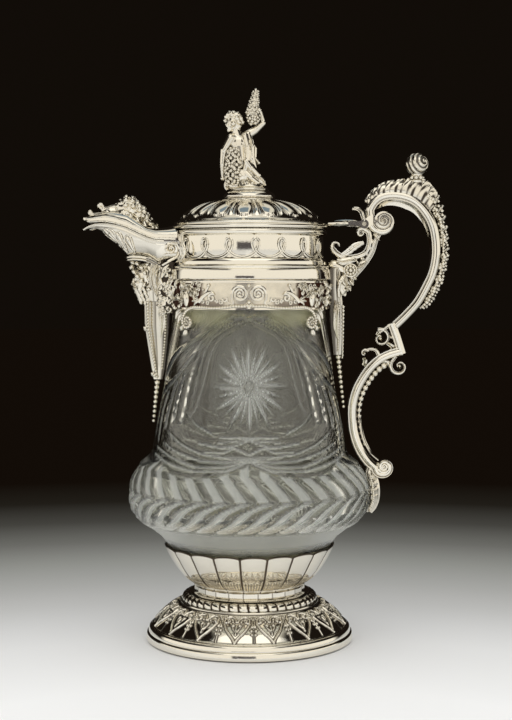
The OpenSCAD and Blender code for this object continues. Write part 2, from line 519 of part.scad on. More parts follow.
// ---------------------------------------------------------------- bracket and handle
band_w = handle_w / 2;
module bracket_scroll() color(silver) difference() {
    union() {
        p = concat(spiral([64.6, 235.6], 0.8, 420, 2.8, 60, 10), curve([[68.6, 236.6], [69.6, 232], [69, 227.4], [66.4, 223.4], [61, 221.4], [54.4, 221.4], [49.8, 224], [47.4, 227.4], [48.2, 230], [50.8, 229.4]], 3));
        q = cps(p);
        flatsweep(q, [for (i = [0:len(q) - 1]) ell(band_w * 0.72, mix(0.5, 1.15, min(1, i / 10)), 8)]);
        // leaf inside the scroll
        l = cps([[66, 227], [61, 226.4], [56, 224.8], [52, 225.4]]);
        flatsweep(l, [for (i = [0:3]) ell([2.6, 2.2, 1.8, 0.9][i], [3.2, 3.6, 2.4, 1][i], 8)]);
    }
    collar_room();
}
module bracket_leaf() color(silver) difference() {
    union() {
        p = curve(cps([[75, 236.4], [73, 231], [70.6, 224], [66, 217], [60, 210], [55.6, 204], [53.6, 196]]), 3);
        flatsweep(p, [for (i = [0:len(p) - 1]) let (t = i / (len(p) - 1)) ell(mix(band_w * 0.8, band_w * 1.1, t), 1.5 + 1.1 * sin(180 * t), 8)]);
        for (s = [-1, 1]) hull() { at_bracket([58.3, s * 3.4, 214]) sphere(r = 3, $fn = 16); at_bracket([54, s * 3, 215]) sphere(r = 2, $fn = 12); }
        at_bracket([54, 0, 218.4]) rotate([90, 0, 0]) cylinder(r = 3.2, h = 7, center = true, $fn = 32);
        at_bracket([50.6, 0, 217]) cube([6, 8, 6], center = true);
    }
    collar_room();
}
module at_bracket(p) { q = cp([p[0], p[2]]); translate([q[0], p[1], q[1]]) children(); }
function atb(p) = let (q = cp([p[0], p[2]])) [q[0], p[1], q[1]];
// Calm mask and braid on the handle's side of the skirt
module bracket_mask() color(silver) difference() {
    union() {
        blob(atb([51.4, 0, 205.4]), [4.6, 5.2, 6.4]);
        blob(atb([55.2, 0, 205]), [1.6, 1, 1.8]);
        limb(atb([53, -3, 209]), atb([53, 3, 209]), 1.8, 1.8);
        for (s = [-1, 1]) limb(atb([51.4, s * 4.6, 208]), atb([51, s * 4.4, 199.6]), 1.8, 1.4);
        limb(atb([53, 0, 200.4]), atb([51.6, 0, 196.6]), 2.6, 2.2);
        skin([for (s = [[53, 45.2, 6, 216], [52.6, 45.4, 6, 205], [53.6, 45.7, 5.2, 196], [53.4, 46.4, 4.4, 184], [53, 47.4, 3.4, 174], [52.6, 48.6, 2, 165]])
            let (a = cp([s[0], s[3]]), b = cp([s[1], s[3]])) [[b[0], s[2], a[1]], [a[0], s[2], a[1]], [a[0], -s[2], a[1]], [b[0], -s[2], a[1]]]]);
        for (i = [0:5]) limb(atb([53.4, 0, 192 - 5 * i]), atb([53.2, 0, 189.6 - 5 * i]), 2.5 - 0.25 * i, 1.9 - 0.2 * i);
    }
    collar_room();
}

upper = hps(concat(
    spiral([77.3, 242.6], 1.4, 630, 7.6, 190, 26),
    curve([[69.5, 245.2], [69.3, 249], [72.3, 253.7], [77, 256.6], [84, 257.3], [91.4, 255.8], [97.2, 252.6], [101.6, 247.8], [105, 242], [107.2, 234.6],
           [108, 224], [106.4, 214], [103.4, 206.6], [97.4, 195.8], [90.6, 188], [84.4, 182]], 2)));
corner = hps([[83.6, 182.6], [85.4, 176.4], [88.4, 166.4]]);
lower = hps(concat(curve([[88.4, 167.2], [81, 165.2], [75, 162.1], [69.7, 157.2], [65, 150.2], [61.8, 143.3], [60.1, 135.4], [60.1, 127.6], [61.2, 119.5], [64.1, 111.1], [68.5, 104.4], [73.2, 100]], 2),
    spiral([78.2, 100.4], 5.4, 200, 1.4, 560, 14)));
function band_sec(w, t, k) = [[w, -t], [w, t * 0.65], [w - 0.8, t], [0.8 - w, t], [-w, t * 0.65], [-w, -t], [-1.1, -t - k], [1.1, -t - k]];
module handle() color(silver) union() {
    n = len(upper);
    flatsweep(upper, [for (i = [0:n - 1]) let (s = i < 26 ? mix(0.45, 1, i / 26) : 1)
        band_sec(band_w * (i < 26 ? mix(1, 0.9, i / 26) : 1), handle_t / 2 * s, i < 28 ? 0.05 : keel * pow(max(0.02, sin(180 * min(1, (i - 26) / 30))), 1.5) + 0.05)]);
    flatsweep(corner, [for (i = [0:2]) band_sec(band_w * 1.02, handle_t / 2, 0.4)]);
    flatsweep(lower, [for (i = [0:len(lower) - 1]) let (s = i > 22 ? mix(1, 0.5, (i - 22) / 15) : 1) band_sec(band_w * mix(1, 0.8, i / 37), handle_t / 2 * s, 0.5 * s)]);
}
// Crest of leaves and beads outside the upper scroll
crest_in = hps([[69.6, 250.6], [73, 256.4], [79, 259.2], [86, 259.6], [92.6, 258.2], [98.6, 254.8], [103.4, 249.6], [107, 243.6], [109.2, 237], [110.2, 230], [110.2, 220], [108.4, 212], [105.4, 204.6], [101.6, 197.6], [98, 192.6]]);
crest_out = hps([[66.4, 254], [71.2, 260.6], [78, 264.8], [86, 266.2], [94, 267], [101.4, 266.4], [107, 260.6], [110.6, 254.8], [113, 246], [114.6, 237], [115.4, 226], [114, 213.6], [110.4, 203], [105.4, 194.4], [100, 190.8]]);
module handle_crest() color(silver) {
    a = curve(crest_in, 5); b = curve(crest_out, 5); n = len(a);
    p = [for (i = [0:n - 1]) (a[i] * 1.14 + b[i] * 0.86) / 2];
    flatsweep(p, [for (i = [0:n - 1]) let (h = norm(b[i] - a[i]) / 2 * (i % 3 == 1 ? 0.82 : 1.06), w = mix(3.2, 2.2, i / n) * (i % 3 == 1 ? 0.75 : 1)) ell(w, h, 6)]);
}
ball_at = hp([96.6, 275]);
module handle_ball() color(silver) union() {
    translate([ball_at[0], 0, ball_at[1]]) sphere(d = ball_d, $fn = 48);
    foot_at = hp([97, 265.4]);
    hull() { translate([foot_at[0], 0, foot_at[1]]) sphere(r = 2.6, $fn = 16); translate([ball_at[0], 0, ball_at[1] - ball_d * 0.42]) sphere(r = 2, $fn = 16); }
}
// Scrolls at the knee and the corner
module volute(c, r0, a0, r1, a1, n, w, t) flatsweep(hps(spiral(c, r0, a0, r1, a1, n)), [for (i = [0:n]) ell(w, mix(t * 0.55, t, i / n), 6)]);
module handle_scrolls() color(silver) union() {
    volute([75.9, 174.8], 1.2, 60, 5.2, 470, 20, 3.4, 1.3);
    flatsweep(hps([[77.6, 180.3], [80.4, 182.6], [84.4, 183]]), [for (i = [0:2]) ell(3, 1.5, 6)]);
    flatsweep(hps([[80, 176], [83, 174.2], [86.4, 173.6]]), [for (i = [0:2]) ell(2.4, 1.8, 6)]);
    volute([66.7, 166], 0.8, -80, 2.6, -330, 10, 3, 0.9);
    flatsweep(hps([[67.9, 168.2], [70.4, 168.6], [73.6, 167.8], [75.6, 164]]), [for (i = [0:3]) ell(2.8, 1.3, 6)]);
    volute([86.9, 158.6], 1.2, 200, 5, -180, 18, 3.4, 1.3);
    flatsweep(hps([[81.6, 158], [82, 161], [84.6, 164.6]]), [for (i = [0:2]) ell(2.8, 1.4, 6)]);
}
bead_way = curve(sub(lower, 5, 16), 4);
bead_side = off(bead_way, 1);
module handle_beads() color(silver) {
    n = len(bead_way) - 1;
    p = [for (i = [0:n]) bead_way[i] + (bead_side[i] - bead_way[i]) * (handle_t / 2 + bead_seat + bead_d * mix(1, 0.62, i / n) / 2)];
    for (i = [0:bead_n - 1]) let (t = i / (bead_n - 1), q = p[round(n * t)]) translate([q[0], 0, q[1]]) sphere(d = bead_d * mix(1, 0.62, t), $fn = 16);
    flatsweep(p, [for (i = [0:n]) ell(0.7, 0.7, 6)]);
}
// Leaf that seats the handle's lower end on the belly
module leaf_pad() color(silver) {
    p = [for (z = [99.6, 97.4, 94, 90, 86, 81, 77, 74]) let (r = lookup(z, [[74, belly_r - 3.6], [77, belly_r - 1.5], [82, belly_r], [87.2, belly_r], [93, belly_r - 0.9], [97, max(belly_r - 2.4, ledge_r + 1.5)], [100, max(belly_r - 1.4, ledge_r + 1.5)]])) [r + 0.3, gz(z)]];
    w = [3, 5, 6.4, 7.6, 7.8, 6.6, 4.4, 1.4]; t = [0.55, 0.7, 0.85, 1, 1, 0.9, 0.7, 0.3];
    skin([for (i = [0:7]) [for (j = [0:9]) let (a = 180 * j / 9) [p[i][0] + pad_t * t[i] * pow(sin(a) + 0.0001, 0.8), w[i] * cos(a), p[i][1]]]]);
    flatsweep([[belly_r + pad_t * 0.5, gz(97)], hp([76, 101.4])], [ell(3, 2, 8), ell(3, 1.6, 8)]);
}

// ---------------------------------------------------------------- hinge
z_hinge = z_seat + hinge_up;
pin_r = pin_d / 2;
knuckle_r = pin_r + knuckle_wall;
module at_hinge() translate([hinge_x, 0, z_hinge]) rotate([90, 0, 0]) children();
module hinge_lug() color(silver) difference() {
    union() {
        at_hinge() cylinder(r = knuckle_r, h = knuckle_w, center = true, $fn = 48);
        hull() {
            translate([hinge_x + 0.8, 0, z_hinge]) cube([1, knuckle_w, knuckle_r * 1.8], center = true);
            let (q = hp([70.6, 243])) translate([q[0], 0, q[1]]) cube([1.4, knuckle_w - 0.6, 6], center = true);
        }
    }
    at_hinge() cylinder(r = pin_r, h = knuckle_w + 4, center = true, $fn = 48);
}
module hinge_pin() color(gilt_shadow) at_hinge() cylinder(r = pin_r, h = knuckle_w + 2 * (side_gap + ear_w) + 0.8, center = true, $fn = 48);
ear_y = knuckle_w / 2 + side_gap + ear_w / 2;
module lid_strap() color(silver) difference() {
    union() {
        for (s = [-1, 1]) {
            translate([0, s * ear_y, 0]) at_hinge() cylinder(r = knuckle_r, h = ear_w, center = true, $fn = 48);
            // arm from the leaf to the knuckle
            hull() {
                translate([hinge_x - 1, s * ear_y, z_hinge + 0.2]) cube([1.6, ear_w, 3], center = true);
                translate([hinge_x - 8, s * (ear_y - 0.5), z_hinge + 0.2]) cube([2, ear_w, 2.2], center = true);
            }
        }
        // the leaf itself, widest in the middle
        skin([for (s = [[lid_d / 2 - 3.5, 4, 0.9, 0.4], [lid_d / 2 + 1, 5.4, 1.2, 0.6], [lid_d / 2 + 6, 7, 1.9, 0.6], [mix(lid_d / 2, hinge_x, 0.62), 6.6, 1.4, 0.7], [hinge_x - 7, ear_y + 0.4, 1, 0.4]])
            [for (q = ell(s[1], s[2], 10)) [s[0], q[0], z_hinge - 0.2 + s[3] + q[1]]]]);
    }
    at_hinge() cylinder(r = pin_r + pin_play, h = 40, center = true, $fn = 48);
    translate([0, 0, z_lid - 1]) cylinder(d = lid_d, h = lid_rim_h + 1, $fn = fine);
}
module thumbpiece() color(silver) difference() {
    union() for (s = [-1, 1]) skin([for (q = [[0.6, 0, 1.2, 1.2], [-0.6, 3.6, 1.1, 1.1], [-1.6, 6.6, 1.3, 1], [-3.4, 8.4, 1.9, 0.7], [-6, 8.9, 1.6, 0.35]])
        [for (e = ell(1, 1, 8)) [hinge_x + q[0] + e[1] * q[3] * (q[1] > 6 ? 0.5 : 1), s * (ear_y + (q[1] > 3 ? 0.8 : 0)) - e[0] * q[2], z_hinge + q[1] + e[1] * q[3] * (q[1] > 6 ? 0.9 : 0)]]]);
    at_hinge() cylinder(r = knuckle_r, h = 40, center = true, $fn = 48);
}

// ---------------------------------------------------------------- lid
lid_r = lid_d / 2;
dome_r = lid_r - 4.5;
dome_line = [for (p = [[1, 0], [0.915, 0.24], [0.83, 0.48], [0.75, 0.68], [0.645, 0.9], [0.5, 0.985], [0.38, 1]]) [dome_r * p[0], z_dome + dome_h * p[1]]];
module lid_rim() color(silver) rotate_extrude($fn = fine) polygon([
    [band_r - collar_wall - bezel_gap - lid_wall, z_lid], [lid_r - 1.2, z_lid], [lid_r - 0.2, z_lid + 0.2 * lid_rim_h], [lid_r, z_lid + 0.35 * lid_rim_h],
    [lid_r - 0.3, z_lid + 0.55 * lid_rim_h], [lid_r - 1.8, z_lid + 0.62 * lid_rim_h], [lid_r - 1.8, z_lid + 0.78 * lid_rim_h], [dome_r + 0.8, z_dome],
    [dome_r - 3, z_dome], [dome_r - 3, z_dome - 1.5], [band_r - collar_wall - bezel_gap - lid_wall, z_lid + 1.5]]);
module lid_dome() color(silver) difference() {
    rotate_extrude($fn = fine) polygon(concat(dome_line, [[0, z_plinth]], [[0, z_plinth - lid_wall]],
        [[dome_r * 0.5, z_plinth - lid_wall]], [[dome_r * 0.64, z_dome + dome_h * 0.9 - lid_wall * 1.2]], [[dome_r - 3, z_dome]]));
    // narrow spear flutes between the broad lobes
    for (i = [0:dome_flutes - 1]) rotate(360 * (i + 0.5) / dome_flutes + 90)
        translate([mix(dome_line[0][0], dome_line[4][0], 0.55), 0, mix(dome_line[0][1], dome_line[4][1], 0.55) + 2.3])
            rotate([0, 90 + atan2(dome_line[4][1] - dome_line[0][1], dome_line[0][0] - dome_line[4][0]), 0]) cylinder(r = 2, h = 13, center = true, $fn = 24);
    cylinder(d = stud_d + 0.1, h = z_plinth + 10, $fn = 32);
}
module lid_bezel() color(silver) rotate_extrude($fn = fine) polygon([
    [band_r - collar_wall - bezel_gap - lid_wall, z_lid - bezel_h], [band_r - collar_wall - bezel_gap, z_lid - bezel_h],
    [band_r - collar_wall - bezel_gap, z_lid], [band_r - collar_wall - bezel_gap - lid_wall, z_lid]]);
module plinth() color(silver) difference() {
    rotate_extrude($fn = fine) polygon([[0, z_plinth], [plinth_d / 2 - 2, z_plinth], [plinth_d / 2 - 0.4, z_plinth + 0.2 * plinth_h], [plinth_d / 2, z_plinth + 0.4 * plinth_h],
        [plinth_d / 2 - 0.5, z_plinth + 0.65 * plinth_h], [plinth_d / 2 - 3, z_plinth + 0.9 * plinth_h], [plinth_d / 2 - 5, z_figure], [0, z_figure]]);
    cylinder(d = stud_d, h = z_figure + 10, $fn = 32);
}
// Cover over the spout, its edge a plain band that follows the trough
cover_gap = 0.35;
cover_st = [
    [-38, 0.99, 230.8, 240], [-46, 0.96, 230.9, 239.6], [-50, 0.94, 231.1, 238.2], [-53, 0.91, 231.4, 237.8], [-58, 0.82, 233, 238.8], [-64, 0.7, 235.7, 243], [-70, 0.57, 238.6, 248.4], [-77, 0.45, 240.6, 249], [-81, 0.38, 241.4, 248.4],
    [-85, 0.31, 241.7, 247.4], [-88.6, 0.25, 241.6, 246.6], [-92.6, 0.17, 241.5, 245.8], [-96, 0.06, 243.4, 245]];
function cap_section(s, dw, dt, db) = let (p = sp([s[0], s[2]]), q = sp([s[0], s[3]]), w = s[1] * spout_w / 2 - dw, b = p[1] + cover_gap - db, t = q[1] - dt)
    concat([[p[0], w, b]], [for (i = [0:8]) let (a = 180 * i / 8) [p[0], w * cos(a), b + min(2.2, (t - b) * 0.5) + (t - b - min(2.2, (t - b) * 0.5)) * sin(a)]], [[p[0], -w, b]]);
module spout_cover() color(silver) difference() {
    skin([for (s = cover_st) rev(cap_section(s, 0, 0, 0))]);
    // hollow underneath
    skin([for (i = [0:len(cover_st) - 3]) let (s = cover_st[i]) rev(cap_section(s, min(spout_wall + 0.6, s[1] * spout_w * 0.25), spout_wall, 1))]);
    translate([0, 0, z_skirt]) cylinder(r = band_r + 2.7, h = collar_h + seat_gap, $fn = fine);
    translate([0, 0, z_lid - 3]) cylinder(r = lid_r, h = lid_rim_h + dome_h, $fn = fine);
}
// Curled beast mask that lies on the cover
module cover_mask() color(silver) union() {
    blob(at3([-69.5, 0, 250.4]), [8.4, 8.4, 6.4]);
    blob(at3([-77.6, 0, 249.4]), [7, 5.4, 3]);
    for (s = [-1, 1]) {
        for (c = [[-72, 4, 254.8, 2.6], [-67.4, 5.4, 254.4, 2.6], [-63.4, 5.6, 250, 2.8], [-60, 5, 246, 2.8], [-56.6, 4.6, 242, 2.8], [-74.6, 6.2, 249.6, 2.2], [-69, 8, 247.6, 2.4], [-62.4, 8.4, 244.4, 2.6], [-57.4, 8, 240.6, 2.4]])
            translate(at3([c[0], s * c[1], c[2]])) sphere(r = c[3], $fn = 9);
        limb(at3([-86, s * 1.6, 250]), at3([-80, s * 2.4, 250]), 1.9, 1.5);
        limb(at3([-92.4, s * 1, 247.2]), at3([-88, s * 1.4, 246.8]), 1.5, 1.2);
    }
    limb(at3([-72.4, 0, 255.4]), at3([-64, 0, 252.4]), 2.6, 3);
    limb(at3([-64, 0, 250]), at3([-55, 0, 240]), 3.4, 2.6);
}

// ---------------------------------------------------------------- figure
fig = figure_h / 59.6;
function fp(x, y, z) = [x * fig, y * fig, z_figure + (z - 260.4) * fig];
module limb_at(a, b, ra, rb) limb(fp(a[0], a[1], a[2]), fp(b[0], b[1], b[2]), ra * fig, rb * fig);
module blob_at(a, r) blob(fp(a[0], a[1], a[2]), r * fig);
// Half-length child, turned to its right, rising from a rocky block
module figure() color(silver) difference() {
    union() {
        blob_at([-3.6, 0, 263], [9.6, 8, 4.4]);
        blob_at([-6.4, 0, 291.6], [6, 5.6, 6.4]);
        limb_at([-6.2, 0, 288], [-5.4, 0, 276], 5.4, 5.2);
        limb_at([-5.4, 0, 277], [-4, 0, 266], 6, 6.4);
        blob_at([-10.4, -0.6, 300], [5.6, 5.2, 6]);
        limb_at([-8.6, 0, 298], [-7, 0, 292], 2.8, 3.4);
        // hair
        for (c = [[-7, 3.6, 303.4, 2.6], [-11.6, 3.4, 303.8, 2.4], [-5, -3, 303, 2.8], [-9.4, -2.6, 305, 2.4], [-9, 1, 305.6, 2.6], [-4.6, 0.8, 300, 3], [-14.6, 1.6, 302, 2.4], [-5.6, 3.2, 297.4, 2.2], [-14.8, -3, 297.6, 2.2], [-6, -4.4, 298.6, 2.4], [-15, 0, 299, 2]])
            blob_at([c[0], c[1], c[2]], [c[3], c[3], c[3]]);
        blob_at([-14.4, -1, 299.6], [1.2, 0.9, 1.1]);
        // lowered arm, hand on the grapes
        limb_at([-10.6, -4.6, 292], [-14, -5, 283], 3, 2.6);
        limb_at([-14, -5, 283], [-14.6, -3.6, 274], 2.6, 2);
        limb_at([-14.6, -3.6, 274], [-13.8, -2.6, 268.6], 2, 2.1);
        // raised arm
        limb_at([-3.4, 4, 293], [4.4, 4.4, 294.6], 3.2, 2.8);
        limb_at([4.4, 4.4, 294.6], [7, 2.6, 299], 2.8, 2.4);
        limb_at([7, 2.6, 299], [4.6, 1.2, 306], 2.3, 1.8);
        blob_at([4, 0.6, 307.4], [2.2, 2, 2]);
        // drapery over the shoulder and hip
        limb_at([-3, -2.6, 294], [1.4, -3.4, 284], 3, 2.8);
        limb_at([1.4, -3, 284], [3, -2, 274], 2.8, 2.2);
        limb_at([-1, 4, 288], [1.6, 4, 276], 3, 2.6);
        // knees
        limb_at([-3.6, -3, 272], [4, -4, 268.6], 4, 2.8);
        limb_at([-3.6, 3.4, 271], [1, 5, 266.6], 4, 3);
    }
    translate([-40, -40, z_figure - 20]) cube([80, 80, 20]);
    translate([0, 0, z_figure - 1]) cylinder(d = stud_d + 0.1, h = 7, $fn = 32);
}
module figure_grapes() color(silver) union() {
    for (i = [0:4]) for (j = [0:3]) let (a = 72 * i + 36 * (j % 2), r = [3.6, 4.4, 3.8, 2][j] * fig, c = fp(-9.4, -7.2, 281 - 4 * j))
        translate(c + [r * cos(a), r * sin(a) * 0.6, 0.6 * fig * cos(3 * a)]) sphere(r = 1.9 * fig, $fn = 8);
    hull() { translate(fp(-9.4, -6.4, 282)) sphere(r = 2.6 * fig, $fn = 12); translate(fp(-9.4, -6.6, 268)) sphere(r = 2.6 * fig, $fn = 12); }
}
module figure_horn() color(silver) union() {
    flatsweep([for (p = [[1.4, 304.6], [2, 308], [3, 312], [3.6, 316], [3.8, 319.6]]) [p[0] * fig, z_figure + (p[1] - 260.4) * fig]],
        [for (r = [3.2, 3.1, 2.4, 1.5, 0.5]) ell(r * fig, r * fig, 10)]);
    for (c = [[0.2, -1, 305.6], [3.6, -2.4, 303.4], [1.4, -2.6, 301.4], [4.6, 0.6, 302.6], [-0.4, 1.2, 302.4], [2.2, -0.6, 299.8], [1.4, 1.4, 299.6], [2.6, -2, 306.4]])
        translate(fp(c[0], c[1], c[2])) sphere(r = 1.9 * fig, $fn = 8);
}
nut_z = z_plinth - lid_wall - nut_t;
module figure_stud() color(gilt_shadow) translate([0, 0, nut_z - 2]) cylinder(d = stud_d, h = z_figure + 5 - nut_z + 2, $fn = 32);
module figure_nut() color(gilt_shadow) translate([0, 0, nut_z]) difference() {
    cylinder(d = nut_w / cos(30), h = nut_t, $fn = 6);
    translate([0, 0, -1]) cylinder(d = stud_d, h = nut_t + 2, $fn = 32);
}

foot();
foot_hearts();
foot_ring();
knop();
cup();
cup_bed();
glass();
neck_bed();
collar();
collar_loops();
skirt_scrolls();
skirt_border();
spout();
spout_mask();
spout_pendant();
bracket_scroll();
bracket_leaf();
bracket_mask();
handle();
handle_crest();
handle_ball();
handle_scrolls();
handle_beads();
leaf_pad();
hinge_lug();
hinge_pin();
lid_rim();
lid_dome();
lid_bezel();
spout_cover();
cover_mask();
plinth();
figure();
figure_grapes();
figure_horn();
figure_stud();
figure_nut();
lid_strap();
thumbpiece();
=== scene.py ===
"""Silver-mounted claret jug: cut-glass body, lobed cup on a domed foot, chased collar
with a beak spout, scroll handle, and a hinged lid with a figure on a plinth.

Every shape is worked out in millimetres, +Z up, the spout along -X and the handle along +X.
Angles round the jug are degrees from the front, which faces -Y, and grow towards +X.
"""

import math

import bpy
import numpy as np
from bpy.props import FloatProperty, FloatVectorProperty, IntProperty, PointerProperty
from bpy.types import Operator, Panel, PropertyGroup
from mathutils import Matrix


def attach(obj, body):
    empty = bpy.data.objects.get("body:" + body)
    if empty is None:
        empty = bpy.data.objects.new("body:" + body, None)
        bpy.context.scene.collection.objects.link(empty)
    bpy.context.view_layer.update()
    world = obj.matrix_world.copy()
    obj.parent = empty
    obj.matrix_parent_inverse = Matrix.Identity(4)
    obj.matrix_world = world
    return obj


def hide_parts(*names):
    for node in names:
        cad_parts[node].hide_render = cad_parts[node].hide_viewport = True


bl_info = {
    "name": "Claret jug",
    "version": (1, 0, 0),
    "blender": (4, 5, 0),
    "location": "3D View > Sidebar > Jug",
    "description": "Builds a silver-mounted claret jug round its construction model",
    "category": "Object",
}

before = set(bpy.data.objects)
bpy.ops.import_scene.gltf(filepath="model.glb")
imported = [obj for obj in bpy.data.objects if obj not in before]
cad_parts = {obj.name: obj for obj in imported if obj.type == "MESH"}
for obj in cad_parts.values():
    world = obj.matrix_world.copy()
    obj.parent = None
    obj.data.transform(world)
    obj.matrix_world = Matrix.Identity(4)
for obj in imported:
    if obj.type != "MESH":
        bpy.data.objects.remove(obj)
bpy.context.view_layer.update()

MM = 0.001
GOLDEN = 2.39996  # golden angle in radians, which spreads curls and grapes evenly


# ------------------------------------------------------------------ numbers and curves
def linear(hex_colour):
    """Linear RGBA of an sRGB hex colour."""
    part = [int(hex_colour[i:i + 2], 16) / 255 for i in (1, 3, 5)]
    return tuple(c / 12.92 if c <= 0.04045 else ((c + 0.055) / 1.055) ** 2.4 for c in part) + (1.0,)


def mix(a, b, t):
    """a at t = 0, b at t = 1, and a straight line between."""
    return a + (b - a) * t


def step(a, b, x):
    """0 below a, 1 above b, and a smooth S between."""
    t = np.clip((x - a) / (b - a), 0, 1)
    return t * t * (3 - 2 * t)


def unit(v):
    """Vectors of length 1."""
    return v / np.maximum(np.linalg.norm(v, axis=-1, keepdims=True), 1e-12)


def outward(points):
    """Directions from the jug's axis out to points."""
    return unit(points * np.array([1, 1, 0]))


def smooth(points, count):
    """Catmull-Rom curve through the points, at count points evenly spaced along it."""
    p = np.asarray(points, float)
    fine = 24  # points worked out between two of the given ones
    ext = np.concatenate([2 * p[:1] - p[1:2], p, 2 * p[-1:] - p[-2:-1]])
    t = (np.arange(fine) / fine)[None, :, None]
    a, b, c, d = (ext[k:len(p) - 1 + k][:, None, :] for k in range(4))
    q = 0.5 * (2 * b + (c - a) * t + (2 * a - 5 * b + 4 * c - d) * t * t + (3 * b - a - 3 * c + d) * t ** 3)
    return even(np.concatenate([q.reshape(-1, p.shape[1]), p[-1:]]), count)


def distance(path):
    """Distance along a path at each of its points."""
    return np.concatenate([[0], np.cumsum(np.linalg.norm(np.diff(path, axis=0), axis=1))])


def even(path, count):
    """The same path at count points evenly spaced along it."""
    path = np.asarray(path, float)
    run = distance(path)
    at = np.linspace(0, run[-1], count)
    return np.stack([np.interp(at, run, path[:, k]) for k in range(path.shape[1])], 1)


def along(path, t):
    """Places on a path at the shares t of its count of points."""
    share = np.linspace(0, 1, len(path))
    return np.stack([np.interp(t, share, path[:, k]) for k in range(path.shape[1])], -1)


def read_off(heights, values, at):
    """Values given at falling heights, read off at other heights."""
    return np.interp(at, heights[::-1], values[::-1])


def spiral(centre, r0, a0, r1, a1, count=40):
    """Plane spiral about centre, from radius r0 at angle a0 to r1 at a1, in degrees."""
    t = np.linspace(0, 1, count)
    r, a = mix(r0, r1, t), np.radians(mix(a0, a1, t))
    return np.stack([centre[0] + r * np.cos(a), centre[1] + r * np.sin(a)], 1)


def join(*paths):
    """Paths laid end to end."""
    return np.concatenate([np.asarray(p, float) for p in paths])


def xyz(x, y, z):
    """Points from three arrays or numbers that broadcast together."""
    return np.stack(np.broadcast_arrays(x, y, z), -1)


def in_xz(path, y=0.0):
    """Plane points [x, z] as points in space at depth y."""
    path = np.asarray(path, float)
    return xyz(path[:, 0], y, path[:, 1])


def round_at(angle, z, r):
    """Points at an angle from the front, in degrees, at height z and radius r."""
    angle = np.radians(angle)
    return xyz(r * np.sin(angle), -r * np.cos(angle), z)


def swirl_noise(x, y, z, seed):
    """Smooth noise in -1..1: a sum of six sine waves in fixed directions."""
    rng = np.random.default_rng(seed)
    total = 0
    for k in range(6):
        w = rng.normal(size=3) * (1 + 0.35 * k)
        total = total + np.sin(w[0] * x + w[1] * y + w[2] * z + rng.uniform(0, 6.28)) / (1 + 0.3 * k)
    return total / 3.2


def gap2(u, v, path):
    """Squared distance from each point to the nearest segment of a plane path."""
    path = np.asarray(path, float)
    near = np.full(np.broadcast(u, v).shape, 1e9)
    for a, b in zip(path[:-1], path[1:]):
        d = b - a
        t = np.clip(((u - a[0]) * d[0] + (v - a[1]) * d[1]) / max(d @ d, 1e-9), 0, 1)
        near = np.minimum(near, (u - a[0] - t * d[0]) ** 2 + (v - a[1] - t * d[1]) ** 2)
    return near


def ridge(u, v, path, width):
    """Height of a round-backed wire along a plane path: 1 on its middle line, 0 from width away.
    It is the root of 1 minus the squared distance to the path over the width."""
    return np.sqrt(np.clip(1 - gap2(u, v, path) / width ** 2, 0, 1))


# ------------------------------------------------------------------ meshes
class Shells:
    """Closed surfaces gathered into one mesh. Each is turned to face outwards as it comes in."""

    def __init__(self):
        self.points, self.quads, self.tris, self.marks, self.count = [], [], [], [], 0

    def add(self, points, quads, tris=None, mark=0.0):
        """One closed surface. mark is 0 on polished metal and 1 in its dark recesses, and it also paints
        shade on some edges.
        """
        points = np.asarray(points, float).reshape(-1, 3)
        tris = np.zeros((0, 3), int) if tris is None else tris
        both = np.concatenate([quads[:, [0, 1, 2]], quads[:, [0, 2, 3]], tris])
        a, b, c = (points[both[:, k]] for k in range(3))
        if np.einsum("ij,ij->", np.cross(a, b), c) < 0:
            quads, tris = quads[:, ::-1], tris[:, ::-1]
        self.points.append(points)
        self.quads.append(quads + self.count)
        self.tris.append(tris + self.count)
        self.marks.append(np.broadcast_to(mark, (len(points),)).astype(float) if np.isscalar(mark)
            else np.ravel(mark))
        self.count += len(points)
        return self

    def moved(self, change):
        """A copy with every point sent through change."""
        copy = Shells()
        for p, q, t, m in zip(self.points, self.quads, self.tris, self.marks):
            copy.add(change(p), q - q.min() if len(q) else q, t - (q.min() if len(q) else t.min()), m)
        return copy

    def take(self, other):
        """Adds every surface of another set."""
        for p, q, t, m in zip(other.points, other.quads, other.tris, other.marks):
            low = min(q.min() if len(q) else 1 << 30, t.min() if len(t) else 1 << 30)
            self.add(p, q - low, t - low, m)
        return self


def grid(n, m, wrap_n, wrap_m):
    """Quads over n by m points numbered row by row. A wrapped side joins its end to its start."""
    i = np.arange(n if wrap_n else n - 1)[:, None]
    j = np.arange(m if wrap_m else m - 1)[None, :]
    i2, j2 = (i + 1) % n, (j + 1) % m
    return np.stack(np.broadcast_arrays(i * m + j, i2 * m + j, i2 * m + j2, i * m + j2), -1).reshape(-1, 4)


def skin(shells, rings, mark=0.0, closed=False):
    """Surface through rings of equal count, (n, m, 3), with its ends fanned shut unless it is closed."""
    n, m = rings.shape[:2]
    points, quads = rings.reshape(-1, 3), grid(n, m, closed, True)
    if closed:
        return shells.add(points, quads, None, mark)
    j = np.arange(m)
    ends = np.stack([rings[0].mean(0), rings[-1].mean(0)])
    low = np.stack([np.full(m, n * m), j, (j + 1) % m], 1)
    high = np.stack([np.full(m, n * m + 1), (n - 1) * m + (j + 1) % m, (n - 1) * m + j], 1)
    if not np.isscalar(mark):
        mark = np.concatenate([np.ravel(mark), [np.ravel(mark)[0], np.ravel(mark)[-1]]])
    return shells.add(np.concatenate([points, ends]), quads, np.concatenate([low[:, ::-1], high[:, ::-1]]),
        mark)


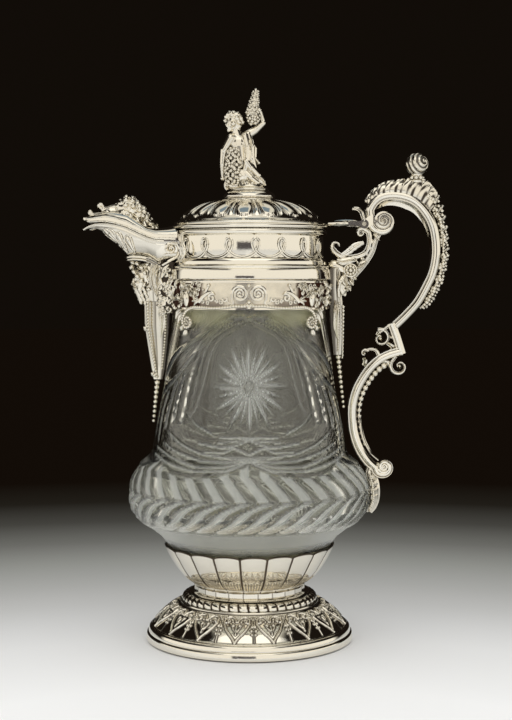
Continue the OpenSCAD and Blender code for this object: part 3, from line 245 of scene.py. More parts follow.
def sweep(shells, path, section, up=(0, 1, 0), closed=False, mark=0.0):
    """A section carried along a path. Section points are [across, up], one list for the whole
    path or one for each point, and up says which way the section's second axis leans."""
    path = np.asarray(path, float)
    if closed:
        t = unit(np.roll(path, -1, 0) - np.roll(path, 1, 0))
    else:
        t = unit(np.gradient(path, axis=0))
    n = np.broadcast_to(np.asarray(up, float), path.shape)
    n = unit(n - t * np.sum(n * t, 1, keepdims=True))
    b = np.cross(t, n)
    sec = np.asarray(section, float)
    if sec.ndim == 2:
        sec = np.broadcast_to(sec, (len(path),) + sec.shape)
    rings = path[:, None] + sec[..., :1] * b[:, None] + sec[..., 1:] * n[:, None]
    return skin(shells, rings, mark, closed)


def circle(count=10, a=1.0, b=1.0):
    """Ellipse of half widths a and b as section points."""
    t = 2 * np.pi * (np.arange(count) + 0.5) / count
    return np.stack([a * np.cos(t), b * np.sin(t)], 1)


def scaled(section, across, up=None):
    """The section at each station of a path, scaled by across and up, which are arrays."""
    across = np.asarray(across, float)
    up = across if up is None else np.asarray(up, float)
    return np.asarray(section)[None] * np.stack([across, up], 1)[:, None, :]


def rod(shells, path, radius, sides=8, up=(0, 1, 0), flat=1.0, closed=False, mark=0.0):
    """Round wire along a path, radius a number or one for each point. flat squashes it along up."""
    radius = np.broadcast_to(np.asarray(radius, float), (len(path),))
    return sweep(shells, path, scaled(circle(sides), radius, radius * flat), up, closed, mark)


def tapered(count, blunt=0.12, power=0.5):
    """Widths from 0 to 1 to 0 that round off both ends of a path."""
    t = np.linspace(0, 1, count)
    return np.clip(np.minimum(t, 1 - t) / blunt, 0.02, 1) ** power


def ball_mesh(across=10, rows=6):
    """Unit sphere as rings with two poles: points, quads and triangles."""
    lat = np.pi * (np.arange(rows) + 1) / (rows + 1)
    lon = 2 * np.pi * np.arange(across) / across
    ring = xyz(np.sin(lat)[:, None] * np.cos(lon), np.sin(lat)[:, None] * np.sin(lon),
        np.broadcast_to(np.cos(lat)[:, None], (rows, across))).reshape(-1, 3)
    j = np.arange(across)
    top, low = rows * across, rows * across + 1
    tris = np.concatenate([np.stack([np.full(across, top), j, (j + 1) % across], 1),
            np.stack([np.full(across, low), (rows - 1) * across + (j + 1) % across,
                (rows - 1) * across + j], 1)])
    return np.concatenate([ring, [[0, 0, 1], [0, 0, -1]]]), grid(rows, across, False, True), tris


def balls(shells, centres, radii, across=10, rows=6, mark=0.0):
    """A ball at each centre. radii is one number, one for each ball, or three for each."""
    centres = np.asarray(centres, float).reshape(-1, 3)
    radii = np.asarray(radii, float)
    radii = np.broadcast_to(radii[:, None] if radii.ndim == 1 else radii, (len(centres), 3))
    p, q, t = ball_mesh(across, rows)
    many = np.arange(len(centres))[:, None, None] * len(p)
    points = (centres[:, None] + radii[:, None] * p).reshape(-1, 3)
    return shells.add(points, (q + many).reshape(-1, 4), (t + many).reshape(-1, 3), mark)


def turned(shells, outline, columns, height=None, mark=None):
    """Closed outline of [radius, z] turned round the jug's axis. height(angle, row) moves each point
    out along the outline's normal and mark(angle, row) darkens it; both get arrays. columns is a
    count or the angles themselves, in degrees."""
    outline = np.asarray(outline, float)
    t = unit(np.roll(outline, -1, 0) - np.roll(outline, 1, 0))
    n = np.stack([t[:, 1], -t[:, 0]], 1)
    angle = 360 * np.arange(columns)[:, None] / columns if np.isscalar(columns) else np.asarray(columns)[:,
        None]
    columns = len(angle)
    row = np.arange(len(outline))[None, :]
    h = np.zeros((columns, len(outline))) if height is None else np.broadcast_to(height(angle, row),
        (columns, len(outline)))
    dark = 0.0 if mark is None else np.broadcast_to(mark(angle, row), (columns, len(outline)))
    r = outline[None, :, 0] + h * n[None, :, 0]
    z = outline[None, :, 1] + h * n[None, :, 1]
    return shells.add(round_at(angle, z, r), grid(columns, len(outline), True, True), None, dark)


def make_piece(name, shells, node=None, body="jug", look="chased", crease=42,
        mark_name="recess"):
    """Puts the gathered surfaces into a mesh object in metres, gives it its finish and attaches it
    to its body. node is the construction node that it stands for, which it hides."""
    points = np.concatenate(shells.points) * MM
    quads, tris = np.concatenate(shells.quads), np.concatenate(shells.tris)
    mesh = bpy.data.meshes.new(name)
    mesh.vertices.add(len(points))
    mesh.vertices.foreach_set("co", points.astype(np.float32).ravel())
    mesh.loops.add(quads.size + tris.size)
    mesh.loops.foreach_set("vertex_index", np.concatenate([quads.ravel(), tris.ravel()]).astype(np.int32))
    starts = np.concatenate([np.arange(len(quads)) * 4, quads.size + np.arange(len(tris)) * 3])
    mesh.polygons.add(len(starts))
    mesh.polygons.foreach_set("loop_start", starts.astype(np.int32))
    mesh.update(calc_edges=True)
    mesh.attributes.new(mark_name, "FLOAT", "POINT").data.foreach_set("value",
        np.concatenate(shells.marks).astype(np.float32))
    mesh.polygons.foreach_set("use_smooth", np.ones(len(starts), bool))
    mesh.set_sharp_from_angle(angle=math.radians(crease))
    piece = bpy.data.objects.new(name, mesh)
    bpy.context.scene.collection.objects.link(piece)
    mesh.materials.append(finish(look))
    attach(piece, body)
    if node:
        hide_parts(node)
    return piece


# ------------------------------------------------------------------ finishes
def add(tree, kind, inputs=None, out=0, **settings):
    """Adds a node, sets its properties, fills its inputs with values or links, and gives back the
    output that is asked for."""
    node = tree.nodes.new("ShaderNode" + kind)
    for key, value in settings.items():
        setattr(node, key, value)
    for key, value in (inputs or {}).items():
        if isinstance(value, bpy.types.NodeSocket):
            tree.links.new(value, node.inputs[key])
        else:
            node.inputs[key].default_value = value
    return node.outputs[out] if node.outputs else None


def new_material(name):
    """An empty node material and its tree."""
    material = bpy.data.materials.new(name)
    material.use_nodes = True
    material.node_tree.nodes.clear()
    return material, material.node_tree


def silver(name, tone, shade, rough, corner=0.0015, depth=0.9, tarnish=0.0):
    """Sterling silver, spun or cast, then polished: a bright warm metal. Its hollows keep a dark
    oxide that the polishing cloth misses; the same dark colour is painted shade in corners and
    where parts meet. Both are found by how closed in a point is, and by the recess
    attribute where the shape itself knows, which also holds painted shade on some edges. Fine wipe
    marks spread the gloss a little."""
    material, tree = new_material(name)
    place = add(tree, "TexCoord", out="Object")
    known = add(tree, "Attribute", out="Fac", attribute_name="recess")
    # ambient occlusion darkens the hollows with their oxide, and paints shade into corners and where parts
    # meet
    near = add(tree, "AmbientOcclusion", {"Distance": corner}, "AO", samples=6)
    closed = add(tree, "MapRange", {"Value": near, "From Min": 0.62, "From Max": 0.16, "To Max": depth})
    dark = add(tree, "Math", {0: known, 1: closed}, operation="MAXIMUM")
    # clouds about 18 mm across: a faint film of tarnish, and where the cloth has wiped
    cloud = add(tree, "TexNoise", {"Vector": place, "Scale": 55.0, "Detail": 3.0, "Roughness": 0.6})
    film = add(tree, "MapRange", {"Value": cloud, "From Min": 0.5, "From Max": 0.8, "To Max": tarnish})
    oxide_tarnish_and_shade = add(tree, "Math", {0: dark, 1: film}, operation="MAXIMUM", use_clamp=True)
    colour = add(tree, "Mix", {0: oxide_tarnish_and_shade, 6: tone, 7: shade}, 2, data_type="RGBA")
    wipe = add(tree, "MapRange", {"Value": cloud, "From Min": 0.3, "From Max": 0.75, "To Min": rough * 0.7,
            "To Max": rough * 1.4})
    gloss = add(tree, "Math", {0: oxide_tarnish_and_shade, 1: 0.34, 2: wipe}, operation="MULTIPLY_ADD")
    # grain about 1 mm across, coarser than a real polish so that it shows
    grain = add(tree, "TexNoise", {"Vector": place, "Scale": 900.0, "Detail": 2.0})
    bump = add(tree, "Bump", {"Height": grain, "Strength": 0.06, "Distance": 0.0002})
    shader = add(tree, "BsdfPrincipled", {"Metallic": 1.0, "Base Color": colour, "Roughness": gloss,
            "Normal": bump})
    add(tree, "OutputMaterial", {"Surface": shader})
    return material


def cut_glass():
    """Lead crystal, blown, wheel-cut and polished: clear, heavy and very bright, with a faint
    yellow-green cast. The frost attribute is 1 where the wheel was left
    unpolished, which gives the grey, silky look of the engraved star. It also carries painted
    light: a whitish veil on the belly, the flutes and blades, the mitre cuts, one side of the
    star's cuts and the neck."""
    material, tree = new_material("lead_crystal_wheel_cut")
    frost = add(tree, "Attribute", out="Fac", attribute_name="frost")
    place = add(tree, "TexCoord", out="Object")
    # marks of the wheel's grit about 0.7 mm across, coarser than real ones so that they show
    grit = add(tree, "TexNoise", {"Vector": place, "Scale": 1400.0, "Detail": 2.0})
    gloss = add(tree, "MapRange", {"Value": frost, "From Min": 0.4, "To Min": 0.015, "To Max": 0.42})
    ground = add(tree, "Math", {0: grit, 1: frost}, operation="MULTIPLY")
    bump = add(tree, "Bump", {"Height": ground, "Strength": 0.25, "Distance": 0.0002})
    clear = add(tree, "BsdfPrincipled", {"Base Color": linear("#FAFAF1"), "Roughness": gloss, "IOR": 1.54,
            "Transmission Weight": 1.0, "Normal": bump})
    # painted reflection: from 168 mm up, the whitish veil on the neck is tinted yellow for the metal round
    # it
    height = add(tree, "SeparateXYZ", {0: place}, "Z")
    neck = add(tree, "MapRange", {"Value": height, "From Min": 0.168, "From Max": 0.182})
    cast = add(tree, "Mix", {0: neck, 6: linear("#EDF0EA"), 7: linear("#D9D7A4")}, 2, data_type="RGBA")
    white = add(tree, "BsdfPrincipled", {"Base Color": cast, "Roughness": 0.7, "IOR": 1.54, "Normal": bump})
    veil = add(tree, "Math", {0: frost, 1: 0.45}, operation="MULTIPLY")
    add(tree, "OutputMaterial", {"Surface": add(tree, "MixShader", {0: veil, 1: clear, 2: white})})
    return material


def plaster():
    """Plaster of Paris, cast in place: a chalky off-white, seen only at the seams."""
    material, tree = new_material("plaster_cast")
    place = add(tree, "TexCoord", out="Object")
    # grains about 1.4 mm across, coarser than real ones so that they show
    grit = add(tree, "TexNoise", {"Vector": place, "Scale": 700.0, "Detail": 4.0})
    colour = add(tree, "Mix", {0: grit, 6: linear("#CFC9B4"), 7: linear("#E6E1CE")}, 2, data_type="RGBA")
    bump = add(tree, "Bump", {"Height": grit, "Strength": 0.3, "Distance": 0.0004})
    shader = add(tree, "BsdfPrincipled", {"Base Color": colour, "Roughness": 0.85, "IOR": 1.5,
            "Normal": bump})
    add(tree, "OutputMaterial", {"Surface": shader})
    return material


FINISH = {}


def finish(name):
    """The named finish, made the first time it is asked for."""
    if name not in FINISH:
        look = bpy.context.scene.jug_finish
        FINISH[name] = {"polished": lambda: silver("silver_spun_polished", look.polished_tone,
                look.polished_shade, 0.07, 0.0012, 0.75),
            "chased": lambda: silver("silver_cast_chased", look.chased_tone, look.chased_shade, 0.12,
                0.0016, 0.95, 0.1), "matted": lambda: silver("silver_matted_ground", look.matted_tone,
                look.matted_shade, 0.16, 0.0012, 0.9, 0.3),
            "nickel": lambda: silver("nickel_silver_turned", linear("#CFC8B8"), linear("#3A332A"), 0.26,
                0.001, 0.6), "glass": cut_glass, "plaster": plaster,}[name]()
    return FINISH[name]


# ------------------------------------------------------------------ studio
CAMERA_X = 0.00383
LAMPS = (("lamp_top", (0.0, -1.0, 1.5), 1.8, 5.8), ("lamp_left", (-1.3, -0.8, 0.8), 0.8, 1.9),
         ("lamp_right", (1.3, -0.7, 0.8), 0.8, 1.9))
LAMP_AIM = (0, 0, 0.12)
FLOOR_RINGS = (0.3, 0.8, 2.0, 6.0)
CARD_FROM, CARD_SIDE = 0.3, 0.3
# painted light on the card, falling off into the distance: colours by distance, in metres, from a
# point CARD_FROM in front of the jug: all that lies in front of that point counts as level with it,
# and no side counts as over CARD_SIDE off
CARD_PAINTED_FALLOFF = ((0.20, "#F4F4F4"), (0.30, "#E4E4E4"), (0.345, "#D6D6D6"), (0.40, "#C0C0BF"), (0.465, "#A9A9A7"),
        (0.54, "#90918D"), (0.625, "#6C6C68"), (0.725, "#44433F"), (0.84, "#211E19"), (0.985, "#130D08"))


def make_studio(stage):
    """Camera, floor, world and lamps. The floor is a pale sheet with painted light that darkens into the
    distance.
    """
    scene = bpy.context.scene
    lens = bpy.data.cameras.new("camera")
    lens.sensor_width = 36.0
    lens.lens = stage.focal_length
    lens.clip_start, lens.clip_end = 0.05, 50.0
    camera = bpy.data.objects.new("camera", lens)
    camera.location = (CAMERA_X, -stage.distance, stage.height)
    camera.rotation_euler = (math.radians(90 - stage.pitch), 0, 0)
    scene.collection.objects.link(camera)
    scene.camera = camera
    scene.view_settings.view_transform = "Standard"

    rings, sides = np.array(FLOOR_RINGS)[:, None], 48
    turn = np.radians(np.arange(0, 360, 360 / sides))
    points = xyz(rings * np.cos(turn), rings * np.sin(turn), 0 * rings * turn).reshape(-1, 3)
    j = np.arange(sides)
    middle = np.stack([np.full(sides, len(points)), j, (j + 1) % sides], 1)
    mesh = bpy.data.meshes.new("studio_floor")
    faces = grid(len(rings), sides, False, True)[:, ::-1].tolist() + middle.tolist()
    mesh.from_pydata(points.tolist() + [[0, 0, 0]], [], faces)
    floor = bpy.data.objects.new("studio_floor", mesh)
    floor.location = (0, 0, -0.0002)
    scene.collection.objects.link(floor)
    mesh.materials.append(sheet_material())

    scene.world = bpy.data.worlds.new("studio")
    scene.world.use_nodes = True
    studio_world(scene.world.node_tree)
    for name, spot, size, power in LAMPS:
        light = bpy.data.lights.new(name, "AREA")
        light.shape, light.size, light.energy = "SQUARE", size, power
        light.color = (1.0, 0.985, 0.95)
        lamp = bpy.data.objects.new(name, light)
        lamp.location = spot
        aim = np.array(LAMP_AIM) - np.array(spot)
        lamp.rotation_euler = (math.acos(-aim[2] / np.linalg.norm(aim)), 0,
            math.atan2(aim[1], aim[0]) + math.pi / 2)
        scene.collection.objects.link(lamp)


def sheet_material():
    """Seamless card, matt: pale in front, with a painted falloff of light that makes it dark far behind."""
    material, tree = new_material("card_matt_painted_falloff")
    place = add(tree, "TexCoord", out="Object")
    behind = add(tree, "VectorMath", {0: place, 1: (0.0, CARD_FROM, 0.0)}, operation="ADD")
    kept = add(tree, "VectorMath", {0: behind, 1: (-CARD_SIDE, 0.0, 0.0)}, operation="MAXIMUM")
    kept = add(tree, "VectorMath", {0: kept, 1: (CARD_SIDE, 9.0, 0.0)}, operation="MINIMUM")
    far = add(tree, "VectorMath", {0: kept}, "Value", operation="LENGTH")
    colour = add(tree, "ValToRGB", {"Fac": far})
    band = colour.node.color_ramp
    for element, (at, tone) in zip(band.elements, (CARD_PAINTED_FALLOFF[0], CARD_PAINTED_FALLOFF[-1])):
        element.position, element.color = at, linear(tone)
    for at, tone in CARD_PAINTED_FALLOFF[1:-1]:
        band.elements.new(at).color = linear(tone)
    shader = add(tree, "BsdfPrincipled", {"Base Color": colour, "Roughness": 1.0,
            "Specular IOR Level": 0.0})
    add(tree, "OutputMaterial", {"Surface": shader})
    return material


def studio_world(tree):
    """What metal and glass see: a bright cream tent in front and overhead, a dark backdrop behind,
    the dark camera in the middle of the tent, and a blue-grey window high behind. The camera itself
    sees only the dark backdrop. Each zone is a product of soft steps along the three directions."""
    tree.nodes.clear()
    axes = add(tree, "SeparateXYZ", {0: add(tree, "TexCoord", out="Generated")}).node.outputs
    x, y, z = axes["X"], axes["Y"], axes["Z"]

    def zone(*steps):
        """Product of soft steps, each a value with its 0 and 1 ends, or with a middle, a half
        width and a softness."""
        product = None
        for value, *ends in steps:
            if len(ends) == 3:
                middle, half, soft = ends
                value = add(tree, "Math", {0: value, 1: middle}, operation="SUBTRACT")
                value = add(tree, "Math", {0: value}, operation="ABSOLUTE")
                ends = (half + soft, half - soft)
            soft_step = add(tree, "MapRange", {"Value": value, "From Min": ends[0], "From Max": ends[1]},
                interpolation_type="SMOOTHSTEP")
            product = soft_step if product is None else add(tree, "Math", {0: product, 1: soft_step},
                operation="MULTIPLY")
        return product

    over = zone((z, 0.70, 0.80))
    shade = zone((x, 0.0, 0.43, -0.07), (z, 0.3, 0.45))
    lit = add(tree, "Math", {0: zone((y, 0.5, 0.3)), 1: over}, operation="MAXIMUM")
    clear = add(tree, "Math", {0: 1.0, 1: shade}, operation="SUBTRACT")
    tent = add(tree, "Math", {0: lit, 1: clear}, operation="MULTIPLY")
    lens = zone((x, -0.1, 0.22, 0.02), (z, 0.02, 0.07, 0.01), (y, -0.6, -0.7))
    window = zone((x, -0.04, 0.27, 0.03), (y, 0.19, 0.20, 0.03), (z, 0.70, 0.80))
    path = add(tree, "LightPath").node.outputs
    colour = add(tree, "Mix", {0: over, 6: (0.95, 0.905, 0.82, 1), 7: (0.74, 0.71, 0.63, 1)}, 2,
        data_type="RGBA")
    colour = add(tree, "Mix", {0: tent, 6: (0.011, 0.008, 0.006, 1), 7: colour}, 2, data_type="RGBA")
    for mask, share, tone in ((lens, 0.95, (0.05, 0.043, 0.05, 1)), (window, 0.9, (0.15, 0.22, 0.29, 1))):
        part = add(tree, "Math", {0: mask, 1: share}, operation="MULTIPLY")
        colour = add(tree, "Mix", {0: part, 6: colour, 7: tone}, 2, data_type="RGBA")
    # what the camera sees, and the plain light that matt surfaces get
    for ray, tone in (("Is Camera Ray", (0.0058, 0.004, 0.0026, 1)),
            ("Is Diffuse Ray", (0.97, 0.97, 0.96, 1))):
        colour = add(tree, "Mix", {0: path[ray], 6: colour, 7: tone}, 2, data_type="RGBA")
    add(tree, "OutputWorld", {"Surface": add(tree, "Background", {"Color": colour, "Strength": 1.0})})



# ------------------------------------------------------------------ foot and stem
def dome_line(t):
    """Outline of the foot's dome, from its rim at t = 0 to the reeded ring at t = 1: a straight
    slope with a belly of 1.6 mm at its middle."""
    return np.stack([mix(56.0, 38.6, t) + 0.9 * np.sin(np.pi * t),
            mix(9.0, 22.6, t) + 1.1 * np.sin(np.pi * t)], -1)


HEART_TILE = (20.4, 19.6)  # width and height of the tile that one heart is drawn in
FIRST_HEART = 14.2  # degrees from the front to the middle of a heart


def heart_pattern(u, v, wire):
    """Relief of one heart leaf in its tile, u across and v up the dome in millimetres, and of the
    berry stems that part it from its neighbours: the highest of a few wires."""
    half = ((0, 0.6), (1.0, 2.6), (3.2, 5.0), (6.0, 8.2), (7.9, 11.4), (7.8, 14.2), (6.0, 16.0),
        (3.4, 16.2), (1.6, 14.8), (0.5, 12.6))
    curl = ((7.6, 12.0), (5.4, 12.2), (4.4, 13.4), (5.2, 14.6), (6.3, 14.0), (5.8, 13.2))
    midrib = ((0, 5.4), (0, 9.8))
    vein = ((0, 6.4), (2.2, 9.0), (3.2, 11.0))
    stem = ((10.2, 0.8), (10.2, 9.0), (9.4, 12.4), (10.2, 16.0))
    rail = ((0, 18.6), (10.2, 18.6))
    a = np.abs(u)
    high = ridge(a, v, half, wire)
    for path, width, tall in ((curl, wire * 0.8, 0.8), (midrib, wire * 1.2, 0.7), (vein, wire * 0.7, 0.6),
            (stem, wire * 0.6, 0.5), (rail, wire * 0.9, 0.5)):
        high = np.maximum(high, tall * ridge(a, v, path, width))
    for at, r in (((1.9, 10.6), 0.8), ((8.9, 7.6), 0.7), ((9.3, 10.0), 0.75), ((8.8, 15.4), 0.7),
            ((2.6, 12.8), 0.6), ((9.2, 5.4), 0.6)):
        d2 = (a - at[0]) ** 2 + (v - at[1]) ** 2
        high = np.maximum(high, 0.8 * np.sqrt(np.clip(1 - d2 / r ** 2, 0, 1)))
    return high


def build_foot(sizes):
    """Rim and underside, the dome with its band of heart leaves, the reeded ring and the knop."""
    edge = smooth([(58.8, 0), (60.1, 0.7), (60.36, 1.6), (60.22, 3.0), (59.95, 4.4), (59.3, 5.0)], 18)
    cove = smooth([(58.9, 5.1), (59.0, 5.6), (58.8, 6.7), (58.4, 7.9), (57.6, 8.5)], 14)
    bead = smooth([(57.0, 8.6), (57.1, 8.9), (56.6, 9.3), (56.0, 9.3)], 6)
    under = [(55.2, 8.6), (52.0, 11.0), (44.0, 16.6), (37.0, 20.8), (33.4, 22.2), (33.4, 20.4),
        (40.0, 15.4), (49.5, 8.8), (54.2, 5.4), (55.4, 0)]
    shells = turned(Shells(), join(edge, cove, bead, under), 360)
    make_piece("foot_rim", shells, "foot", look="polished")

    columns, rows = 1280, 66
    t = np.linspace(0, 1, rows)
    top = dome_line(t)
    outline = join(top, dome_line(np.linspace(1, 0, 6)) - np.array([0.9, 1.2]))
    run = distance(top)
    tile = 360 / sizes.heart_count

    def pattern(angle, row):
        x = (angle - FIRST_HEART + tile / 2) % tile - tile / 2
        v = run[np.minimum(row, rows - 1)] * HEART_TILE[1] / run[-1]
        return heart_pattern(x * HEART_TILE[0] / tile, v, 0.5), v

    def relief(angle, row):
        high, v = pattern(angle, row)
        edge_bead = 0.7 * np.exp(-((v - 19.1) / 0.5) ** 2) + 0.35 * np.exp(-(v / 0.4) ** 2)
        return np.where(row < rows, sizes.heart_relief / MM * high + edge_bead, 0.0)

    def recess(angle, row):
        """Dark beside the wires: flat ground that has a raised neighbour."""
        high = pattern(angle, row)[0]
        spread = high
        for shift, axis in ((-3, 0), (-2, 0), (2, 0), (3, 0), (-2, 1), (2, 1)):
            spread = np.maximum(spread, np.roll(high, shift, axis))
        return np.where(row < rows, (spread > 0.05) * (high < 0.12) * 0.85, 0.0)

    shells = turned(Shells(), outline, columns, relief, recess)
    make_piece("foot_heart_band", shells, "foot_hearts", look="polished", crease=70)

    ring = smooth([(38.3, 22.5), (38.9, 23.4), (38.9, 24.8), (38.1, 26.2), (36.6, 26.9), (34.6, 27.3),
            (33.0, 27.5)], 26)

    def reeds(angle, row):
        turn = angle / 360 * sizes.reed_count + row * 0.012
        body = np.sqrt(np.abs(np.sin(np.pi * turn)))
        return np.where((row > 1) & (row < 17), 0.75 * body - 0.35, 0.0)

    def reed_marks(angle, row):
        turn = angle / 360 * sizes.reed_count + row * 0.012
        return np.where((row > 1) & (row < 18), step(0.5, 0.2, np.abs(np.sin(np.pi * turn))), 0.0)

    shells = turned(Shells(), join(ring, [(30.6, 27.5), (30.6, 24.6), (34.5, 22.6)]), 880, reeds,
        reed_marks)
    make_piece("foot_reeded_ring", shells, "foot_ring", look="polished", crease=60)

    knop_r = 32.3
    band = join(smooth([(31.5, 27.6), (34.2, 27.7), (34.9, 28.1), (34.2, 28.6), (33.0, 28.9)], 12),
        [(32.4, 29.2)], np.stack([np.full(6, knop_r), np.linspace(29.4, 31.7, 6)], 1),
        smooth([(32.2, 31.9), (31.2, 32.2), (30.7, 32.7), (30.6, 33.1)], 8))
    half = 180 / sizes.knop_facets
    cut_rows = (13, 18)

    def across(angle):
        """Degrees from the middle of the facet that an angle falls in."""
        return (angle - 1.5 + half) % (2 * half) - half

    def flats(angle, row):
        flat = knop_r * (math.cos(math.radians(half)) / np.cos(np.radians(across(angle))) - 1)
        return np.where((row >= cut_rows[0]) & (row <= cut_rows[1]), flat, 0.0)

    def facet_edge_painted_shade(angle, row):
        # painted shade: a dark line along the ridge where two facets meet
        edge = step(0.86, 0.98, np.abs(across(angle)) / half) * 0.7
        return np.where((row >= cut_rows[0]) & (row <= cut_rows[1]), edge, 0.0)

    shells = turned(Shells(), join(band, [(28.0, 33.1), (28.0, 27.6)]), 576, flats, facet_edge_painted_shade)
    make_piece("stem_knop", shells, "knop", look="polished", crease=20)


# ------------------------------------------------------------------ cup
def build_cup(sizes):
    """Lobed calyx: polished pillows parted by narrow grooves, scalloped at the rim, with a chased
    band of fine reeds at its root."""
    side = smooth([(30.5, 33.2), (32.0, 33.6), (36.4, 36.2), (41.2, 41.0), (44.9, 46.6), (47.4, 51.2),
            (49.2, 55.2)], 64)
    lip = np.array([(48.9, 55.75), (48.2, 55.6)])
    back = np.array([(46.2, 51.4), (43.5, 46.6), (39.8, 41.6), (35.4, 37.4), (31.5, 35.2), (29.4, 34.9)])
    outline = join(side, lip, back)
    rows, columns = len(side), 1000
    lobe = 360 / sizes.lobe_count

    def across(angle):
        return ((angle - 3 + lobe / 2) % lobe - lobe / 2) / lobe

    def pillows(angle, row):
        x, t = across(angle), np.clip(row / rows, 0, 1)
        tall = mix(0.5, 1.25, step(0.1, 0.8, t))
        pillow = np.sqrt(np.clip(1 - (2 * x) ** 2, 0, 1)) - 0.75
        reed = 0.16 * np.sin(np.radians(angle) * 150) * step(0.42, 0.3, t) * step(0.02, 0.1, t)
        return np.where(row < rows, tall * pillow + reed, 0.0)

    def marks(angle, row):
        x, t = across(angle), row / rows
        groove = step(0.445, 0.47, np.abs(x)) * 0.95
        chased = step(0.40, 0.3, t) * step(0.0, 0.08, t) * np.clip(-np.sin(np.radians(angle) * 150), 0,
            1) * 0.75
        # painted shade: the rim and the top of its inner face are dark where the glass stands in the cup
        return np.where(row < rows - 1, np.maximum(groove, chased), 0.95 * (row < rows + 3))

    shells = turned(Shells(), outline, columns, pillows, marks)
    # the rim rises over each lobe
    points = shells.points[0].reshape(columns, -1, 3)
    x = across(360 * np.arange(columns)[:, None] / columns)
    points[..., 2] += 2.0 * (np.sqrt(np.clip(1 - (2 * x) ** 2, 0, 1)) - 0.85) * step(49.0, 55.5,
        points[..., 2])
    make_piece("cup_lobed", shells, "cup", look="polished", crease=50)


# ------------------------------------------------------------------ glass
def vee(distance, half, deep):
    """A mitre cut: a straight-sided groove, deepest where distance is 0 and gone at half."""
    return -deep * np.clip(1 - np.abs(distance) / half, 0, 1)


def groove(u, v, path, half, deep):
    """A mitre cut along a plane path: deep on its line and gone at half on both sides."""
    return vee(np.sqrt(gap2(u, v, path)), half, deep)


STAR_HALF = (22.6, 27.4)  # half width and half height of the star
STAR_Z = 150.2  # height of its middle


def star_cuts(x, z, petals):
    """The engraved star: long leaf-shaped cuts that fan from its middle with fine ones between,
    and how far each point is left frosted, with painted light on one side of each cut. x and z
    run from the star's middle."""
    wide, tall = STAR_HALF
    r, turn = np.hypot(x / wide, z / tall), np.arctan2(z / tall, x / wide)
    high = np.zeros(np.broadcast(x, z).shape)
    frost = 0.05 * step(1.05, 0.95, r)
    for group, shift, end, half in ((petals // 2, 0.5, 1.0, 1.7), (petals // 2, 0.0, 0.8, 1.2),
            (petals, 0.5, 0.92, 0.55)):
        pitch = 2 * math.pi / group
        local = (turn + shift * pitch) % pitch - pitch / 2
        t = np.clip((r - 0.1) / (end - 0.1), 0, 1)
        off = local * r * 22 / (half * np.sin(np.pi * t ** 0.75) + 1e-3)
        inside = (t > 0) * (t < 1) * np.clip(1 - np.abs(off), 0, 1)
        high = np.minimum(high, -0.55 * inside)
        # each cut is frosted, most along its middle; one side of each cut is painted whiter, as if lit
        frost = np.maximum(frost, (inside > 0) * (0.24 + 0.34 * (off > 0) + 0.4 * (np.abs(off) < 0.16))
            * step(1.0, 0.5, t) ** 0.5)
    frost = np.where(r < 0.1, 0.45, frost)
    return high, frost


DEGREE = 0.84  # millimetres to a degree round the cone
# mitre cuts beside the star and over the ledge: half width, depth, and the path as degrees from
# the front and heights, the same on both sides and at the back
CUTS = ((1.8, 1.2, ((0, 188.0), (6, 189.4), (14, 188.6), (22, 186.2), (29, 182.4), (37, 177.4), (46, 173.4),
            (55, 169.4), (63, 164.6), (74, 156))), (0.7, 0.35,
        ((0, 185.4), (8, 181.9), (17.4, 178.0), (24.4, 172.4), (27.6, 165.8), (29.8, 156.4), (31.9, 147.0),
            (34.5, 138.2), (37.8, 134.0))), (0.7, 0.5,
        ((0, 187.0), (9, 184.6), (19, 180.6), (26, 176.0), (31.5, 170.0), (34.5, 162), (36.5, 153),
            (38.5, 144))), (1.2, 0.8, ((12, 186.0), (21.3, 182.4), (30, 176.0), (35.1, 170.5),
            (39.3, 161.1), (41.8, 153.3), (43.1, 144.9), (44.0, 136.6), (45.4, 129.5))),
    (1.4, 1.0, ((24, 181.6), (33.9, 175.2), (40, 168.4), (48.5, 160.0), (59.1, 152.5), (74.9, 144.8))),
    (1.3, 0.9, ((47, 158), (50, 149), (52, 139), (52.6, 130))),
    (1.2, 0.9, ((55, 152), (58.5, 143), (60.5, 133), (61, 126))),
    (1.3, 0.9, ((65, 146), (68.5, 137), (70, 127), (70, 118))),
    (1.1, 0.8, ((77, 143), (79, 132), (79, 120))),
    (0.9, 0.8, ((41, 134.6), (36.5, 131), (32.3, 128.4), (22.6, 124.5))),
    (0.7, 0.7, ((0, 122.6), (17, 122.3))), (0.8, 0.8, ((0, 121.4), (7.4, 118.6), (15.4, 116.8))),
    (0.7, 0.7, ((0, 121.8), (8.6, 120.6), (18, 119.8))),
    (1.0, 0.8, ((0, 113.4), (8.5, 117.2), (18, 117.4), (30, 119.0))),
    (0.9, 0.8, ((8.5, 117.2), (14, 114.6), (26, 114.4))),
    (1.0, 0.8, ((0, 111.4), (13.4, 111.8), (28.6, 113.4), (43.8, 117.8), (56, 123))),
    (1.0, 0.8, ((0, 110.9), (13.1, 109.4), (28, 109.6), (47.4, 113.4), (60, 117))),
    (1.0, 0.8, ((0, 110.4), (14.2, 106.9), (29.5, 106.6), (53.5, 110.6), (70, 114))),
    (0.9, 0.7, ((0, 110.1), (12.2, 105.3), (28.1, 104.4), (53, 107.4), (72, 110))))


